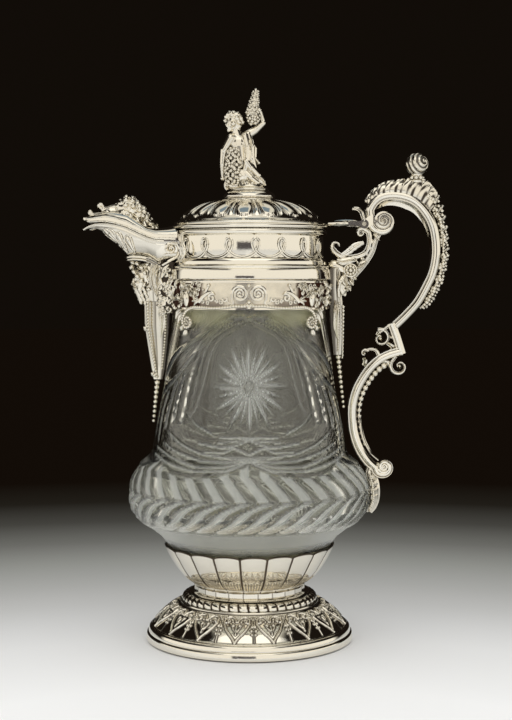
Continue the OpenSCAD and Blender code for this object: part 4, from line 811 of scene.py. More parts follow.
def glass_cuts(angle, z, sizes):
    """Depth of cutting, and the frosting with painted light over it, at an angle and height, both arrays.
    """
    flutes = 360 / sizes.flute_count
    high = np.zeros(np.broadcast(angle, z).shape)
    # slanting S-shaped flutes round the belly
    t = np.clip((z - 70.5) / 17.5, 0, 1)
    u = (angle - 24 * (t + 0.07 * np.sin(2 * np.pi * t))) / flutes
    x = u - np.floor(u)
    reach = step(70.0, 73.5, z) * step(89.2, 87.6, z)
    scoop = -1.9 * np.sin(np.pi * x ** 0.62) ** 1.3
    feather = -0.28 * np.abs(np.sin(np.pi * 7 * x)) * step(0.35, 0.6, x) * step(76, 80, z)
    high = high + reach * (scoop + feather)
    flute_light = reach * step(0.08, 0.2, x) * step(0.72, 0.5, x)
    # blades that lean the other way, up to the hanging edge of the ledge
    swag = 109.9 - 7.9 * np.abs(np.sin(np.radians(3 * angle))) ** 0.75
    t = np.clip((z - 88.6) / 14, 0, 1)
    u = (angle + 9 * t ** 1.3) / flutes
    x = u - np.floor(u)
    reach = step(88.4, 90.2, z) * step(0.2, -1.6, z - swag)
    high = high - reach * 1.3 * np.sin(np.pi * x ** 1.7) ** 1.2
    blade_light = reach * step(0.35, 0.5, x) * step(0.98, 0.85, x)
    high = high + vee(z - swag, 1.2, 1.0) + vee(z - 88.9, 0.7, 0.5)
    # the mitre cuts, on the front and the back
    side = np.abs((angle + 90) % 180 - 90)
    across = side * DEGREE
    lines = np.zeros(high.shape)
    for half, deep, path in CUTS:
        cut = groove(across, z, [(DEGREE * a, h) for a, h in path], half, deep)
        high = np.minimum(high, cut)
        lines = np.maximum(lines, -cut / deep)
    # fine slanting lines over the ledge at the sides
    u = (side - 0.9 * (z - 112)) / 3.4
    band = step(110, 112, z) * step(129, 125, z) * step(40, 46, side)
    high = high - 0.45 * band * np.clip(1 - np.abs(u - np.floor(u) - 0.5) / 0.4, 0, 1)
    star, frost = star_cuts(across * np.sign((angle + 90) % 180 - 90) * 1.03, z - STAR_Z, sizes.star_petals)
    clear = (side < 45) * (z > 120) * (z < 180)
    # painted light: a whitish bloom on the belly and the cone under it, on the flutes and blades, along the
    # mitre cuts, and on the neck beside the middle
    bloom = 0.75 * step(56, 60, z) * step(72, 69, z) + 0.12 * step(70, 73, z) * step(110, 103, z)
    bloom = bloom + 0.7 * flute_light + 0.65 * blade_light
    bloom = bloom + 0.55 * step(180, 187, z) * step(9, 20, side) * step(78, 60, side)
    bloom = np.maximum(bloom, lines * mix(0.7, 0.3, step(124, 132, z)))
    return high + star * clear, np.maximum(frost * clear, bloom)


def build_glass(sizes):
    """The body: one thick shell, cut and polished outside and smooth inside. Each outside point is
    moved in by the depth of the cuts there. Rows and columns lie closest where the cuts are fine."""
    foot = [(29.6, 35.9), (31.0, 36.2), (35.2, 38.9), (39.8, 43.4), (43.1, 48.5), (45.8, 53.5),
        (47.4, 55.9)]
    side = [(49.6, 59.5), (56.3, 65.5), (62.4, 69.2), (66.2, 72.4), (69.2, 77), (70.4, 82), (70.4, 87.2),
        (69.4, 93), (67.6, 97), (65.7, 99.6), (65.0, 101.2), (63.4, 103.4), (59.4, 106.6), (56.6, 110),
        (55.6, 116), (53.7, 128), (50.0, 148), (47.4, 168), (45.4, 182), (44.2, 192), (44.1, 209.5)]
    outer = smooth(foot + side, 900)
    # how close the rows lie at each height
    want = np.interp(outer[:, 1], [67, 69, 88, 90, 118, 119, 176, 178, 190, 192],
        [0.12, 0.85, 0.85, 1.25, 1.25, 1.1, 1.1, 1.3, 1.3, 0.15])
    share = np.concatenate([[0], np.cumsum(want[1:] * np.diff(distance(outer)))])
    rows = 150
    outer = np.stack([np.interp(np.linspace(0, share[-1], rows), share, outer[:, k]) for k in (0, 1)], 1)
    inner = smooth([(40.8, 209.6), (40.7, 190), (42.6, 177), (44.0, 168), (46.6, 148), (50.2, 128),
            (52.2, 111), (56.8, 104), (62.6, 99.4), (65.2, 93), (66.8, 84), (65.4, 78.5), (61.5, 73.6),
            (50.0, 62.5), (40.5, 52), (30, 42.6), (16, 41.8), (2, 41.7)], 20)
    base = np.array([(2, 36.0), (26, 35.8)])
    outline = join(outer, inner, base)
    fine = np.linspace(-36, 36, 176)
    coarse = np.linspace(36.9, 143.1, 112)
    angle = np.concatenate([fine, coarse, 180 + fine, 180 + coarse])[:, None]
    deep, frost = glass_cuts(angle, outer[None, :, 1], sizes)
    pad = np.zeros((len(angle), len(outline) - rows))
    deep = np.concatenate([deep * (outer[None, :, 1] > 60) * (outer[None, :, 1] < 191.5), pad], 1)
    frost = np.concatenate([frost, pad], 1)
    shells = turned(Shells(), outline, angle[:, 0], lambda a, r: deep, lambda a, r: frost)
    make_piece("glass_cut", shells, "glass", look="glass", crease=34, mark_name="frost")


# ------------------------------------------------------------------ collar
def arc_wire(shells, path, radius, wire, sides=8, flat=0.8, mark=0.0):
    """Wire along a path given as [arc length from the front, height] on a cylinder of this radius,
    bedded a little into it."""
    path = np.asarray(path, float)
    points = round_at(np.degrees(path[:, 0] / radius), path[:, 1], radius + 0.25 * np.max(wire))
    wide = np.broadcast_to(np.asarray(wire, float), (len(path),))
    return sweep(shells, points, scaled(circle(sides), wide, wide * flat), outward(points), False, mark)


def build_collar(sizes):
    """The collar in one turned piece: apron, fascia, stepped mouldings, the tall plain band and
    its lip. The band is very slightly barrelled."""
    barrel = [(42.55 + 0.22 * math.sin(math.pi * t), 221.8 + 11.8 * t) for t in np.linspace(0, 1, 12)]
    line = [(46.45, 192.3), (46.45, 199), (46.45, 206.6), (46.0, 207.6), (46.1, 208.4)]
    line += smooth([(46.9, 208.7), (47.5, 209.2), (47.6, 210.2), (47.35, 214.2), (47.15, 214.8)],
        8).tolist() + [(46.3, 215.2), (46.1, 215.6)]
    line += smooth([(46.2, 215.8), (46.3, 216.3), (46.0, 216.8)],
        5).tolist() + [(45.1, 217.2)] + smooth([(44.7, 217.5), (44.6, 218.6), (44.5, 219.5)], 5).tolist()
    line += smooth([(44.3, 219.8), (44.0, 220.4), (43.3, 221.0), (42.6, 221.4)], 6).tolist() + barrel
    line += [(42.9, 233.8)] + smooth([(43.6, 234.1), (44.5, 234.7), (44.8, 235.8), (44.5, 236.8),
            (43.9, 237.25)], 9).tolist()
    line += [(41.4, 237.3), (41.1, 211.6), (41.1, 210.6), (45.0, 210.2), (45.0, 192.3)]
    piece = make_piece("collar_turned", turned(Shells(), line, 360), "collar", look="polished")
    cut_away(piece, (-0.066, -0.011, 0.2253), (-0.0376, 0.011, 0.2343))

    # the guilloche: a wire that swings up into a tall loop at each step, with a thinner one inside
    loops = Shells()
    band_r, first_loop = 43, 5.0
    pitch = math.tau * band_r / sizes.loop_count
    turn = np.linspace(0, math.tau, 64)
    for k in range(sizes.loop_count):
        middle = band_r * math.radians(first_loop) + pitch * k
        away = math.degrees(middle / band_r) % 360
        # none behind the spout or the handle's bracket
        if abs(away - 270) < 30 or abs(away - 90) < 24:
            continue
        for wide, tall, wire, proud in ((5.4, 5.7, 0.52, 0.0), (4.2, 4.5, 0.42, 0.3)):
            path = np.stack([middle + pitch * (turn / math.tau - 0.5) + wide * np.sin(turn),
                    226.3 - tall * np.cos(turn)], 1)
            lift = 0.45 * np.sin(turn / 2) ** 8 * np.sign(turn - math.pi)
            points = round_at(np.degrees(path[:, 0] / band_r), path[:, 1], band_r + 0.1 + proud + lift)
            rod(loops, points, wire, 8, outward(points), 0.85)
    make_piece("collar_guilloche", loops, "collar_loops")


def cut_away(piece, low, high):
    """Cuts a box out of a piece with an exact boolean, and keeps its shading and attributes."""
    low, high = np.array(low), np.array(high)
    corner = np.array([(x, y, z) for x in (0, 1) for y in (0, 1) for z in (0, 1)])
    mesh = bpy.data.meshes.new("cutter")
    mesh.from_pydata((low + corner * (high - low)).tolist(), [],
        [(0, 1, 3, 2), (4, 6, 7, 5), (0, 4, 5, 1), (2, 3, 7, 6), (0, 2, 6, 4), (1, 5, 7, 3)])
    cutter = bpy.data.objects.new("cutter", mesh)
    bpy.context.scene.collection.objects.link(cutter)
    boolean = piece.modifiers.new("cut", "BOOLEAN")
    boolean.object, boolean.operation, boolean.solver = cutter, "DIFFERENCE", "EXACT"
    view = bpy.context.evaluated_depsgraph_get()
    done = bpy.data.meshes.new_from_object(piece.evaluated_get(view), preserve_all_data_layers=True,
        depsgraph=view)
    piece.modifiers.clear()
    piece.data = done
    done.name = piece.name
    bpy.data.objects.remove(cutter)


SKIRT_R = 46.5  # radius of the apron under its applied work


def build_skirt(sizes):
    """Applied work on the apron, the same front and back: the rope border with its volutes, the
    pendant in the middle, branches of scrolls, and thick foliage on a dark ground at the sides."""
    work, rope, ground = Shells(), Shells(), Shells()
    rng = np.random.default_rng(21)
    for turn in (0.0, math.pi * SKIRT_R):
        def spot(x, z, proud, turn=turn):
            """A point of the apron at a distance round it and a height, standing proud of it."""
            return round_at(math.degrees((turn + x) / SKIRT_R), z, SKIRT_R + proud)

        for side in (-1, 1):
            def at(points, side=side, turn=turn):
                """Drawn points, from the middle outwards, on this side of this face."""
                return [(turn + side * x, z) for x, z in points]

            def wire(points, wide, ends=(0.5, 1.0, 0.5)):
                grow = np.interp(np.linspace(0, 1, len(points)), (0, 0.5, 1), ends)
                arc_wire(work, at(points), SKIRT_R + 0.3, wide * grow)

            # the middle volute, three rings deep, and the rope that leaves its foot
            inner = spiral((5.0, 201.2), 0.3, 900, 4.4, 0, 90)
            wire(inner, 0.78, (0.7, 0.9, 1.1))
            arc_wire(work, at(spiral((5.0, 201.2), 0.6, 880, 4.6, 20, 80)), SKIRT_R + 1.0, 0.22)
            wire([(9.4, 201.2), (9.3, 198.6), (8.8, 196.2), (9.6, 194.6)], 0.7, (1, 1, 1))
            line = smooth([(0.8, 194.8), (4, 194.4), (7.6, 194.5), (13, 193.8), (20, 193.3), (29, 193.7),
                    (35, 193.2), (39.4, 191.2), (41.9, 187.8)], 90)
            border = join(line, spiral((38.4, 185.7), 3.9, 20, 0.5, -640, 80))
            arc_wire(rope, at(border), SKIRT_R + 0.3,
                np.interp(np.arange(len(border)), (0, 90, 170), (0.5, 0.55, 0.35)))
            beads = even(border, 46)
            size = np.interp(np.arange(46), (0, 30, 45), (1.05, 1.0, 0.6))
            balls(rope, round_at(np.degrees((turn + side * beads[:, 0]) / SKIRT_R), beads[:, 1],
                    SKIRT_R + 0.9), size, 10, 6)
            # branches over the border: a curled tendril, a forked stem and a leafy fork
            wire(join(spiral((13.9, 198.4), 0.4, 420, 1.8, 150, 24),
                    smooth([(12.2, 198.0), (11.4, 196.4), (9.8, 195.4)], 8)), 0.66)
            wire(join(spiral((21.3, 199.0), 0.4, -330, 2.2, 100, 30),
                    smooth([(19.6, 201.2), (22.4, 202.0), (26.0, 200.2), (29.6, 196.6)], 14)), 0.85,
                (0.6, 0.9, 1.3))
            wire(smooth([(25.8, 200.2), (24.6, 203.2), (23.2, 205.4)], 12), 0.75, (1, 0.9, 0.7))
            balls(work, [spot(side * 23.0, 205.8, 0.7), spot(side * 26.6, 203.4, 0.5)], [1.0, 0.7], 10, 6)
            for tip in ((34.2, 199.6), (34.6, 197.0), (33.2, 194.8)):
                wire(smooth([(29.4, 197.4), (31.8, (197.4 + tip[1]) / 2 + 0.3), tip], 12), 0.8,
                    (0.8, 1.2, 0.5))
            for x, z, r, start in ((15.6, 196.6, 1.3, 0), (18.6, 197.2, 1.1, 200), (23.8, 196.0, 1.2, 90),
                    (27.0, 197.0, 1.2, 270)):
                wire(spiral((x, z), 0.25, start, r, start + 430, 24), 0.5, (0.7, 1.0, 0.7))
            balls(work, [spot(side * 38.8, 198.4, 0.3)], [[2.3, 2.3, 4.8]], 14, 10)
            balls(work, [spot(side * 38.8, 198.9, 1.4)], [[1.3, 1.3, 3.6]], 12, 8)
            # foliage: curls and small leaves, close set, from the leaf boss round to the side
            for k in range(68):
                x = rng.uniform(29.5, 65.5) if k > 8 else rng.uniform(27.5, 38)
                z = rng.uniform(194.8 if x > 42 else 199.8, 206.6)
                size = rng.uniform(0.9, 1.7)
                if k % 2:
                    start = rng.uniform(0, 360)
                    wire(spiral((x, z), 0.25, start, size, start + rng.choice((-1, 1)) * 480, 26), 0.5,
                        (0.7, 1.0, 0.8))
                else:
                    lean = rng.uniform(0, math.tau)
                    tip = np.array([math.cos(lean), math.sin(lean)]) * size * 1.7
                    path = [spot(side * (x + t * tip[0]), z + t * tip[1],
                            0.2 + 0.8 * math.sin(math.pi * (t + 1) / 2)) for t in (-1, 0, 1)]
                    leaf(work, path, (0.3, 1.1, 0.25), outward(path[1]), 0.8, 3, 0.2, 2, (12, 9))
            for k in range(26):
                x, z = rng.uniform(42.5, 57), rng.uniform(182.5, 195)
                if z > 197 - (57 - x) * 0.9:
                    balls(work, [spot(side * x, z, 0.0)], rng.uniform(0.8, 1.5), 10, 7)
            # leaf spray below the end volute and its berries
            for path in (((41.4, 190.6), (44.6, 189.0), (46.8, 184.6)),
                    ((42.6, 183.2), (44.4, 181.6), (46.6, 182.2)),
                    ((39.6, 181.0), (40.8, 178.8), (42.2, 177.6)),
                    ((43.6, 192.6), (47.2, 191.0), (49.4, 187.0))):
                points = [spot(side * x, z, 0.2) for x, z in path]
                leaf(work, points, (0.6, 1.5, 1.3, 0.3), outward(points[1]), 0.9, 3, 0.2, 2, (14, 11))
        # middle pendant: a small shell and drop
        for x, z, r in ((0, 193.8, 1.3), (-1.5, 195.4, 0.9), (1.5, 195.4, 0.9), (0, 196.6, 1.2),
                (0, 205.6, 1.0)):
            balls(work, [spot(x, z, 0.6)], r, 10, 6)
        # the ground: polished over the middle, oxidised low down and behind the foliage
        a = np.linspace(-66, 66, 170)[:, None]
        z = np.array([193.4, 195, 196.5, 198, 199.5, 201, 203, 205, 207.2])[None, :]
        outside = round_at(np.degrees((a + turn) / SKIRT_R), z, SKIRT_R + 0.14)
        inside = round_at(np.degrees((a + turn) / SKIRT_R), z[:, ::-1], SKIRT_R - 0.6)
        cloud = swirl_noise(a * 0.35, z * 0.5, 0, 5)
        dark = np.maximum(0.7 * step(199.4, 195.8, z + 1.4 * cloud) * step(11, 16, np.abs(a)),
            step(25.5, 29.5, np.abs(a) + 1.5 * cloud))
        skin(ground, np.concatenate([outside, inside], 1), np.concatenate([dark, dark[:, ::-1]], 1))
    make_piece("apron_scrolls", work, "skirt_scrolls")
    make_piece("apron_rope", rope, "skirt_border")
    make_piece("apron_ground", ground, look="matted")


# ------------------------------------------------------------------ lid
def build_lid(sizes):
    """Rim mouldings, the dome with its broad tongues and narrow spears, and the plinth."""
    rim = smooth([(44.2, 237.55), (45.2, 237.9), (45.5, 238.9), (45.1, 239.7), (44.0, 240.1)],
        14).tolist() + [(43.4, 240.4), (43.5, 240.9)]
    rim += smooth([(43.6, 241.1), (43.2, 241.7), (42.2, 242.1), (41.3, 242.4)], 8).tolist()
    rim += [(38.2, 242.4), (38.2, 240.6), (37.9, 239.2), (37.9, 237.6)]
    make_piece("lid_rim_turned", turned(Shells(), rim, 288), "lid_rim", "lid", look="polished")

    rows = 40
    top = smooth([(41.0, 242.2), (40.2, 243.6), (38.3, 245.9), (35.6, 248.2), (32.0, 250.4), (27.4, 252.3),
            (21.0, 253.7), (15.6, 254.4)], rows)
    under = np.array([(15.0, 253.0), (20.5, 252.2), (26.2, 250.6), (33.4, 246.0), (38.0, 242.2)])
    pitch = 360 / sizes.tongue_count
    run = np.linspace(0, 1, rows)

    def place(angle, row):
        """Place across one tongue, its half width there, and the way up the dome."""
        t = np.clip(row / (rows - 1), 0, 1)
        x = ((angle + 4.5 + pitch / 2) % pitch - pitch / 2) / pitch
        return x, 0.335 * np.clip(np.sin(np.pi * np.clip((t - 0.09) / 0.98, 0, 1)), 0,
            1) ** 0.16 * step(0.09, 0.12, t), t

    def relief(angle, row):
        x, wide, t = place(angle, row)
        tongue = np.clip(1 - (x / np.maximum(wide, 1e-3)) ** 4, 0,
            1) ** 0.5 * (wide > 0.05) * (0.55 + 0.5 * (1 - (x / 0.34) ** 2))
        lip = np.exp(-((np.abs(x) - wide - 0.035) / 0.016) ** 2) * 0.5 * (wide > 0.05)
        spear = np.clip(1 - ((np.abs(x) - 0.5) / 0.085) ** 2, 0, 1) ** 0.5 * step(0.1, 0.2, t) * step(0.99,
            0.9, t) * 0.75
        return np.where(row < rows, np.maximum(np.maximum(tongue, lip), spear) - 0.35, 0.0)

    def marks(angle, row):
        x, wide, t = place(angle, row)
        edge = step(0.024, 0.008, np.abs(np.abs(x) - wide - 0.008)) * 0.95
        outer = step(0.02, 0.006, np.abs(np.abs(x) - wide - 0.062)) * 0.9
        return np.where((row < rows) & (t > 0.1) & (t < 0.97), np.maximum(edge, outer), 0.0)

    shells = turned(Shells(), join(top, under), 960, relief, marks)
    make_piece("lid_dome_tongues", shells, "lid_dome", "lid", look="polished", crease=55)

    edge = smooth([(15.6, 254.5), (16.0, 254.8), (15.2, 255.4)],
        5).tolist() + smooth([(14.4, 255.6), (14.95, 256.3), (14.9, 257.3), (14.0, 258.6), (12.4, 259.6),
            (10.8, 260.0)], 16).tolist()
    make_piece("plinth_turned", turned(Shells(), edge + [(2.6, 260.1), (2.6, 254.5)], 240), "plinth", "lid",
        look="polished")


# ------------------------------------------------------------------ shared forms for cast work
def raised(path):
    """Drawn points of the mounts, set at their height on this jug: up 0.5 mm by the collar and
    0.2 mm by the belly."""
    path = np.array(path, float)
    path[:, 1] += mix(0.5, 0.2, np.clip((190 - path[:, 1]) / 90, 0, 1))
    return path


def band(shells, path, section, mark=0.0):
    """A section carried along a path [x, z] in the jug's middle plane. Section points are
    [depth, out], out being to the left of the path's direction."""
    way = in_xz(path)
    t = unit(np.gradient(way, axis=0))
    out = xyz(-t[:, 2], np.zeros(len(t)), t[:, 0])
    return sweep(shells, way, section, out, False, mark)


def slab(shells, upper, lower, mark=0.0):
    """Closed plate between two grids of points of equal shape, (n, m, 3)."""
    n, m = upper.shape[:2]
    a = np.arange(n * m).reshape(n, m)
    faces = grid(n, m, False, False)
    loop = np.concatenate([a[0, :-1], a[:-1, -1], a[-1, :0:-1], a[:0:-1, 0]])
    after = np.roll(loop, -1)
    sides = np.stack([loop, after, after + n * m, loop + n * m], 1)
    if not np.isscalar(mark):
        mark = np.concatenate([np.ravel(mark), np.ravel(mark)])
    return shells.add(np.concatenate([upper.reshape(-1, 3), lower.reshape(-1, 3)]),
        np.concatenate([faces, faces[:, ::-1] + n * m, sides]), None, mark)


def ribbed(shells, z, v, face, back, wide, ribs, tall, narrow, dark):
    """Upright plate with round ribs down its front: face plus tall times the cosine of the place
    across, v in -1..1, over its half width. Its back is narrower, and the valleys are dark."""
    wave = np.cos(2 * np.pi * ribs * v)
    outer = xyz(face + tall * wave, v * wide, z)
    inner = xyz(back, v * wide * narrow, z)
    slab(shells, outer, inner, np.clip(-wave, 0, 1) * dark * np.ones_like(z))


def leaf(shells, path, width, out, thick=0.9, ribs=5, curl=0.25, cusps=0, count=(22, 17)):
    """Acanthus leaf along a path in space: half width at each station with lobed edges, a raised
    middle vein and lesser veins between hollow channels. out is the side it faces."""
    n, m = count
    way = smooth(path, n)
    t = unit(np.gradient(way, axis=0))
    face = np.broadcast_to(np.asarray(out, float), way.shape)
    face = unit(face - t * np.sum(face * t, 1, keepdims=True))
    across = np.cross(t, face)
    s = np.linspace(0, 1, n)[:, None]
    v = np.linspace(-1, 1, m)[None, :]
    wide = np.interp(s, np.linspace(0, 1, len(width)), width)
    if cusps:
        wide = wide * (0.8 + 0.2 * np.abs(np.cos(np.pi * cusps * s)) ** 0.6)
    vein = 0.5 * np.cos(np.pi * ribs * v) * (1 - 0.5 * np.abs(v)) + 0.6 * np.exp(-(v / 0.14) ** 2)
    body = thick * (1 - v ** 2) ** 0.5 + thick * 0.55 * vein * np.sin(np.pi * np.clip(s, 0.03, 0.97)) ** 0.5
    bend = -curl * wide * v ** 2
    high = way[:, None] + across[:, None] * (v * wide)[..., None] + face[:, None] * (bend + body)[..., None]
    low = way[:, None] + across[:, None] * (v * wide)[..., None] * 0.98 + face[:,
        None] * (bend - 0.35 * thick)[..., None]
    mark = np.clip(-vein * 1.1, 0, 0.85) * np.ones_like(s)
    return slab(shells, high, low, mark)


def fuse(piece, voxel, rounds=4):
    """Melts a piece's overlapping forms into one cast skin: a voxel remesh, then a smoothing."""
    piece.modifiers.new("melt", "REMESH").voxel_size = voxel * MM
    soft = piece.modifiers.new("soft", "SMOOTH")
    soft.iterations, soft.factor = rounds, 0.5
    view = bpy.context.evaluated_depsgraph_get()
    done = bpy.data.meshes.new_from_object(piece.evaluated_get(view), depsgraph=view)
    piece.modifiers.clear()
    kept = piece.data.materials[0]
    piece.data = done
    done.name = piece.name
    done.materials.clear()
    done.materials.append(kept)
    done.polygons.foreach_set("use_smooth", np.ones(len(done.polygons), bool))
    return piece


def limb(shells, a, b, ra, rb):
    """Rod with round ends between two points, its radius running from ra to rb."""
    a, b = np.asarray(a, float), np.asarray(b, float)
    way = unit(b - a)
    t = np.linspace(0, 1, 7)[:, None]
    side = np.array([0, 1, 0]) if abs(way[1]) < 0.9 else np.array([1, 0, 0])
    cap = np.sin(np.linspace(0.15, np.pi / 2, 4))
    ends = np.cos(np.linspace(0.15, np.pi / 2, 4))
    path = np.concatenate([a - way * ra * ends[:, None], mix(a, b, t[1:-1]),
            (b + way * rb * ends[:, None])[::-1]])
    radius = np.concatenate([ra * cap, mix(ra, rb, t[1:-1, 0]), (rb * cap)[::-1]])
    return sweep(shells, path, scaled(circle(12), radius), side)


def egg(shells, centre, radii, tilt=0.0, across=20, rows=13):
    """Ellipsoid, turned by tilt degrees in the jug's middle plane."""
    p, q, t = ball_mesh(across, rows)
    p = p * np.asarray(radii, float)
    c, s = math.cos(math.radians(tilt)), math.sin(math.radians(tilt))
    return shells.add(p @ np.array([[c, 0, s], [0, 1, 0], [-s, 0, c]]) + np.asarray(centre, float), q, t)


def calm_head(shells, centre, height, facing, tilt=0.0):
    """A plain classical head on schoolbook proportions: eyes half way up, nose a quarter below,
    mouth a third of the way from nose to chin. facing is its turn about the vertical in degrees,
    0 looking along -X, and tilt nods it forward."""
    head = Shells()
    h = height
    egg(head, (0.06 * h, 0, 0.54 * h), (0.40 * h, 0.34 * h, 0.44 * h))
    egg(head, (-0.10 * h, 0, 0.34 * h), (0.25 * h, 0.27 * h, 0.32 * h))
    egg(head, (-0.27 * h, 0, 0.07 * h), (0.085 * h, 0.10 * h, 0.075 * h))
    limb(head, (-0.33 * h, 0, 0.50 * h), (-0.40 * h, 0, 0.30 * h), 0.030 * h, 0.052 * h)
    for side in (-1, 1):
        egg(head, (-0.36 * h, side * 0.045 * h, 0.285 * h), (0.035 * h, 0.035 * h, 0.03 * h))
        limb(head, (-0.335 * h, side * 0.07 * h, 0.535 * h), (-0.26 * h, side * 0.22 * h, 0.53 * h),
            0.032 * h, 0.024 * h)
        egg(head, (-0.285 * h, side * 0.135 * h, 0.455 * h), (0.050 * h, 0.062 * h, 0.040 * h))
        egg(head, (-0.22 * h, side * 0.19 * h, 0.31 * h), (0.09 * h, 0.09 * h, 0.10 * h))
    limb(head, (-0.325 * h, -0.07 * h, 0.195 * h), (-0.325 * h, 0.07 * h, 0.195 * h), 0.030 * h, 0.030 * h)
    limb(head, (-0.318 * h, -0.05 * h, 0.150 * h), (-0.318 * h, 0.05 * h, 0.150 * h), 0.030 * h, 0.030 * h)
    a, b = math.radians(facing), math.radians(tilt)
    nod = np.array([[math.cos(b), 0, math.sin(b)], [0, 1, 0], [-math.sin(b), 0, math.cos(b)]])
    turn = np.array([[math.cos(a), -math.sin(a), 0], [math.sin(a), math.cos(a), 0], [0, 0, 1]])
    rule = turn @ nod
    return shells.take(head.moved(lambda p: p @ rule.T + np.asarray(centre, float)))


# ------------------------------------------------------------------ spout
SPOUT = np.array([(-38, 1, 230.9, 217.5), (-46, 0.97, 231.2, 217.7), (-52, 0.93, 231.5, 218.1),
        (-58, 0.82, 233.1, 221.7), (-64, 0.7, 235.8, 222.3), (-70, 0.57, 238.7, 222.5),
        (-71.6, 0.54, 239.3, 223.9), (-73.4, 0.5, 239.9, 227.5), (-77, 0.44, 240.7, 231.1),
        (-81, 0.37, 241.4, 234.3), (-85, 0.3, 241.6, 236.7), (-88.6, 0.23, 241.4, 238.3),
        (-92.6, 0.14, 240.2, 238.5), (-96.3, 0.04, 238.1, 237.5)])
SPOUT_HALF = 22.0
SPOUT_SEAT, COVER_SEAT = 41.9, 45.6  # radii at which the spout and its cover meet the collar
DRAWN_FROM, DRAWN_OVER = -52, 6  # where their roots start to follow it, and over what length


def spout_row(x):
    """Half width, rim height and keel height of the spout at a distance x along it."""
    order = SPOUT[::-1]
    return tuple(np.interp(x, order[:, 0], order[:, k]) * (SPOUT_HALF if k == 1 else 1) for k in (1, 2, 3))


def spout_at(x, z, side, proud=0.0):
    """The point of the spout's flank at a distance and height, pushed out of it by proud."""
    half, rim, keel = spout_row(x)
    a = np.arcsin(np.clip((rim - z) / (rim - keel), 0, 1) ** (1 / 0.7))
    return xyz(x - 0.3 * proud, side * (half * np.abs(np.cos(a)) ** 0.72 + proud), z - 0.4 * proud)


def to_collar(x, y, radius):
    """Distances along the spout, drawn in near its root so that the last one lies on a cylinder
    of this radius round the jug's axis."""
    root = -np.sqrt(np.maximum(radius ** 2 - y ** 2, 1.0))
    return mix(x, root, np.clip((x - DRAWN_FROM) / DRAWN_OVER, 0, 1))


def build_spout(sizes):
    """Beak spout: a trough with a plain polished flank, a rolled rim, a row of raised drops under
    the beak and a moulding where it meets the mask."""
    x = np.concatenate([np.linspace(-45.2, -70, 26), np.linspace(-70.5, -95.7, 40)])[:, None]
    a = np.linspace(0, np.pi, 41)[None, :]
    half, rim, keel = spout_row(x)
    cosine = np.sign(np.cos(a)) * np.abs(np.cos(a)) ** 0.72
    outer = xyz(to_collar(x, half * cosine, SPOUT_SEAT), half * cosine,
        rim - (rim - keel) * np.sin(a) ** 0.7)
    wall = np.minimum(1.7, 0.4 * half)
    deep = np.minimum(2.0, 0.45 * (rim - keel))
    inner = xyz(to_collar(x, (half - wall) * cosine, SPOUT_SEAT), (half - wall) * cosine,
        rim + 0.02 - (rim - keel - deep) * np.sin(a) ** 0.7)
    shells = Shells()
    slab(shells, outer, inner)
    for side in (-1, 1):
        way = xyz(x[3:, 0], side * half[3:, 0], rim[3:, 0] - 0.5)
        rod(shells, way, 0.55, 8, (0, side, 0))
        way = xyz(x[3:-6, 0], side * (half[3:-6, 0] * 0.985 + 0.12), rim[3:-6, 0] - 2.6)
        rod(shells, way, 0.32, 6, (0, side, 0))
    make_piece("spout_beak", shells, "spout", look="polished", crease=50)

    drops = Shells()
    for side in (-1, 1):
        for head, tail, wide in (((-83.6, 238.0), (-74.6, 229.4), 1.5),
                ((-80.4, 237.6), (-71.8, 226.2), 1.6), ((-76.2, 236.4), (-69.6, 224.6), 1.9),
                ((-70.2, 234.2), (-65.0, 223.4), 2.0)):
            head, tail = np.array(head), np.array(tail)
            t = np.linspace(0, 1, 18)
            middle = mix(head, tail, t[:, None])
            # round at the head, up to a share of 0.22, and tapered from there
            round_part = np.sqrt(np.clip(1 - (1 - t / 0.22) ** 2, 0.01, 1))
            fat = wide * round_part * (t < 0.22) + wide * (t >= 0.22) * (1
                - (t - 0.22) / 0.78) ** 0.75 + 0.08
            point = spout_at(middle[:, 0], middle[:, 1], side, 0.15)
            face = unit(xyz(np.full(18, -0.3), side, -0.55))
            sweep(drops, point, scaled(circle(10), fat * 0.55, fat * 0.42), face)
            across = unit(np.array([-(tail - head)[1], (tail - head)[0]]))
            ring = np.concatenate([middle + across * fat[:, None], (middle - across * fat[:, None])[::-1]])
            rod(drops, spout_at(ring[:, 0], ring[:, 1], side, 0.25), 0.42, 7, face[0])
    # moulding round the foot of the spout
    for low, r in ((0.0, 0.75), (-1.5, 0.5)):
        way = smooth([(-50.6, -11.2, 216.6 + low), (-54.5, -11.4, 219.6 + low), (-60, -11.0, 221.6 + low),
                (-66, -9.2, 222.2 + low), (-70.2, -5.0, 221.8 + low), (-71.6, 0, 221.7 + low)], 26)
        way = np.concatenate([way, (way * np.array([1, -1, 1]))[::-1][1:]])
        rod(drops, way, r, 8, (0, 0, 1))
    make_piece("spout_drops", drops, look="polished")


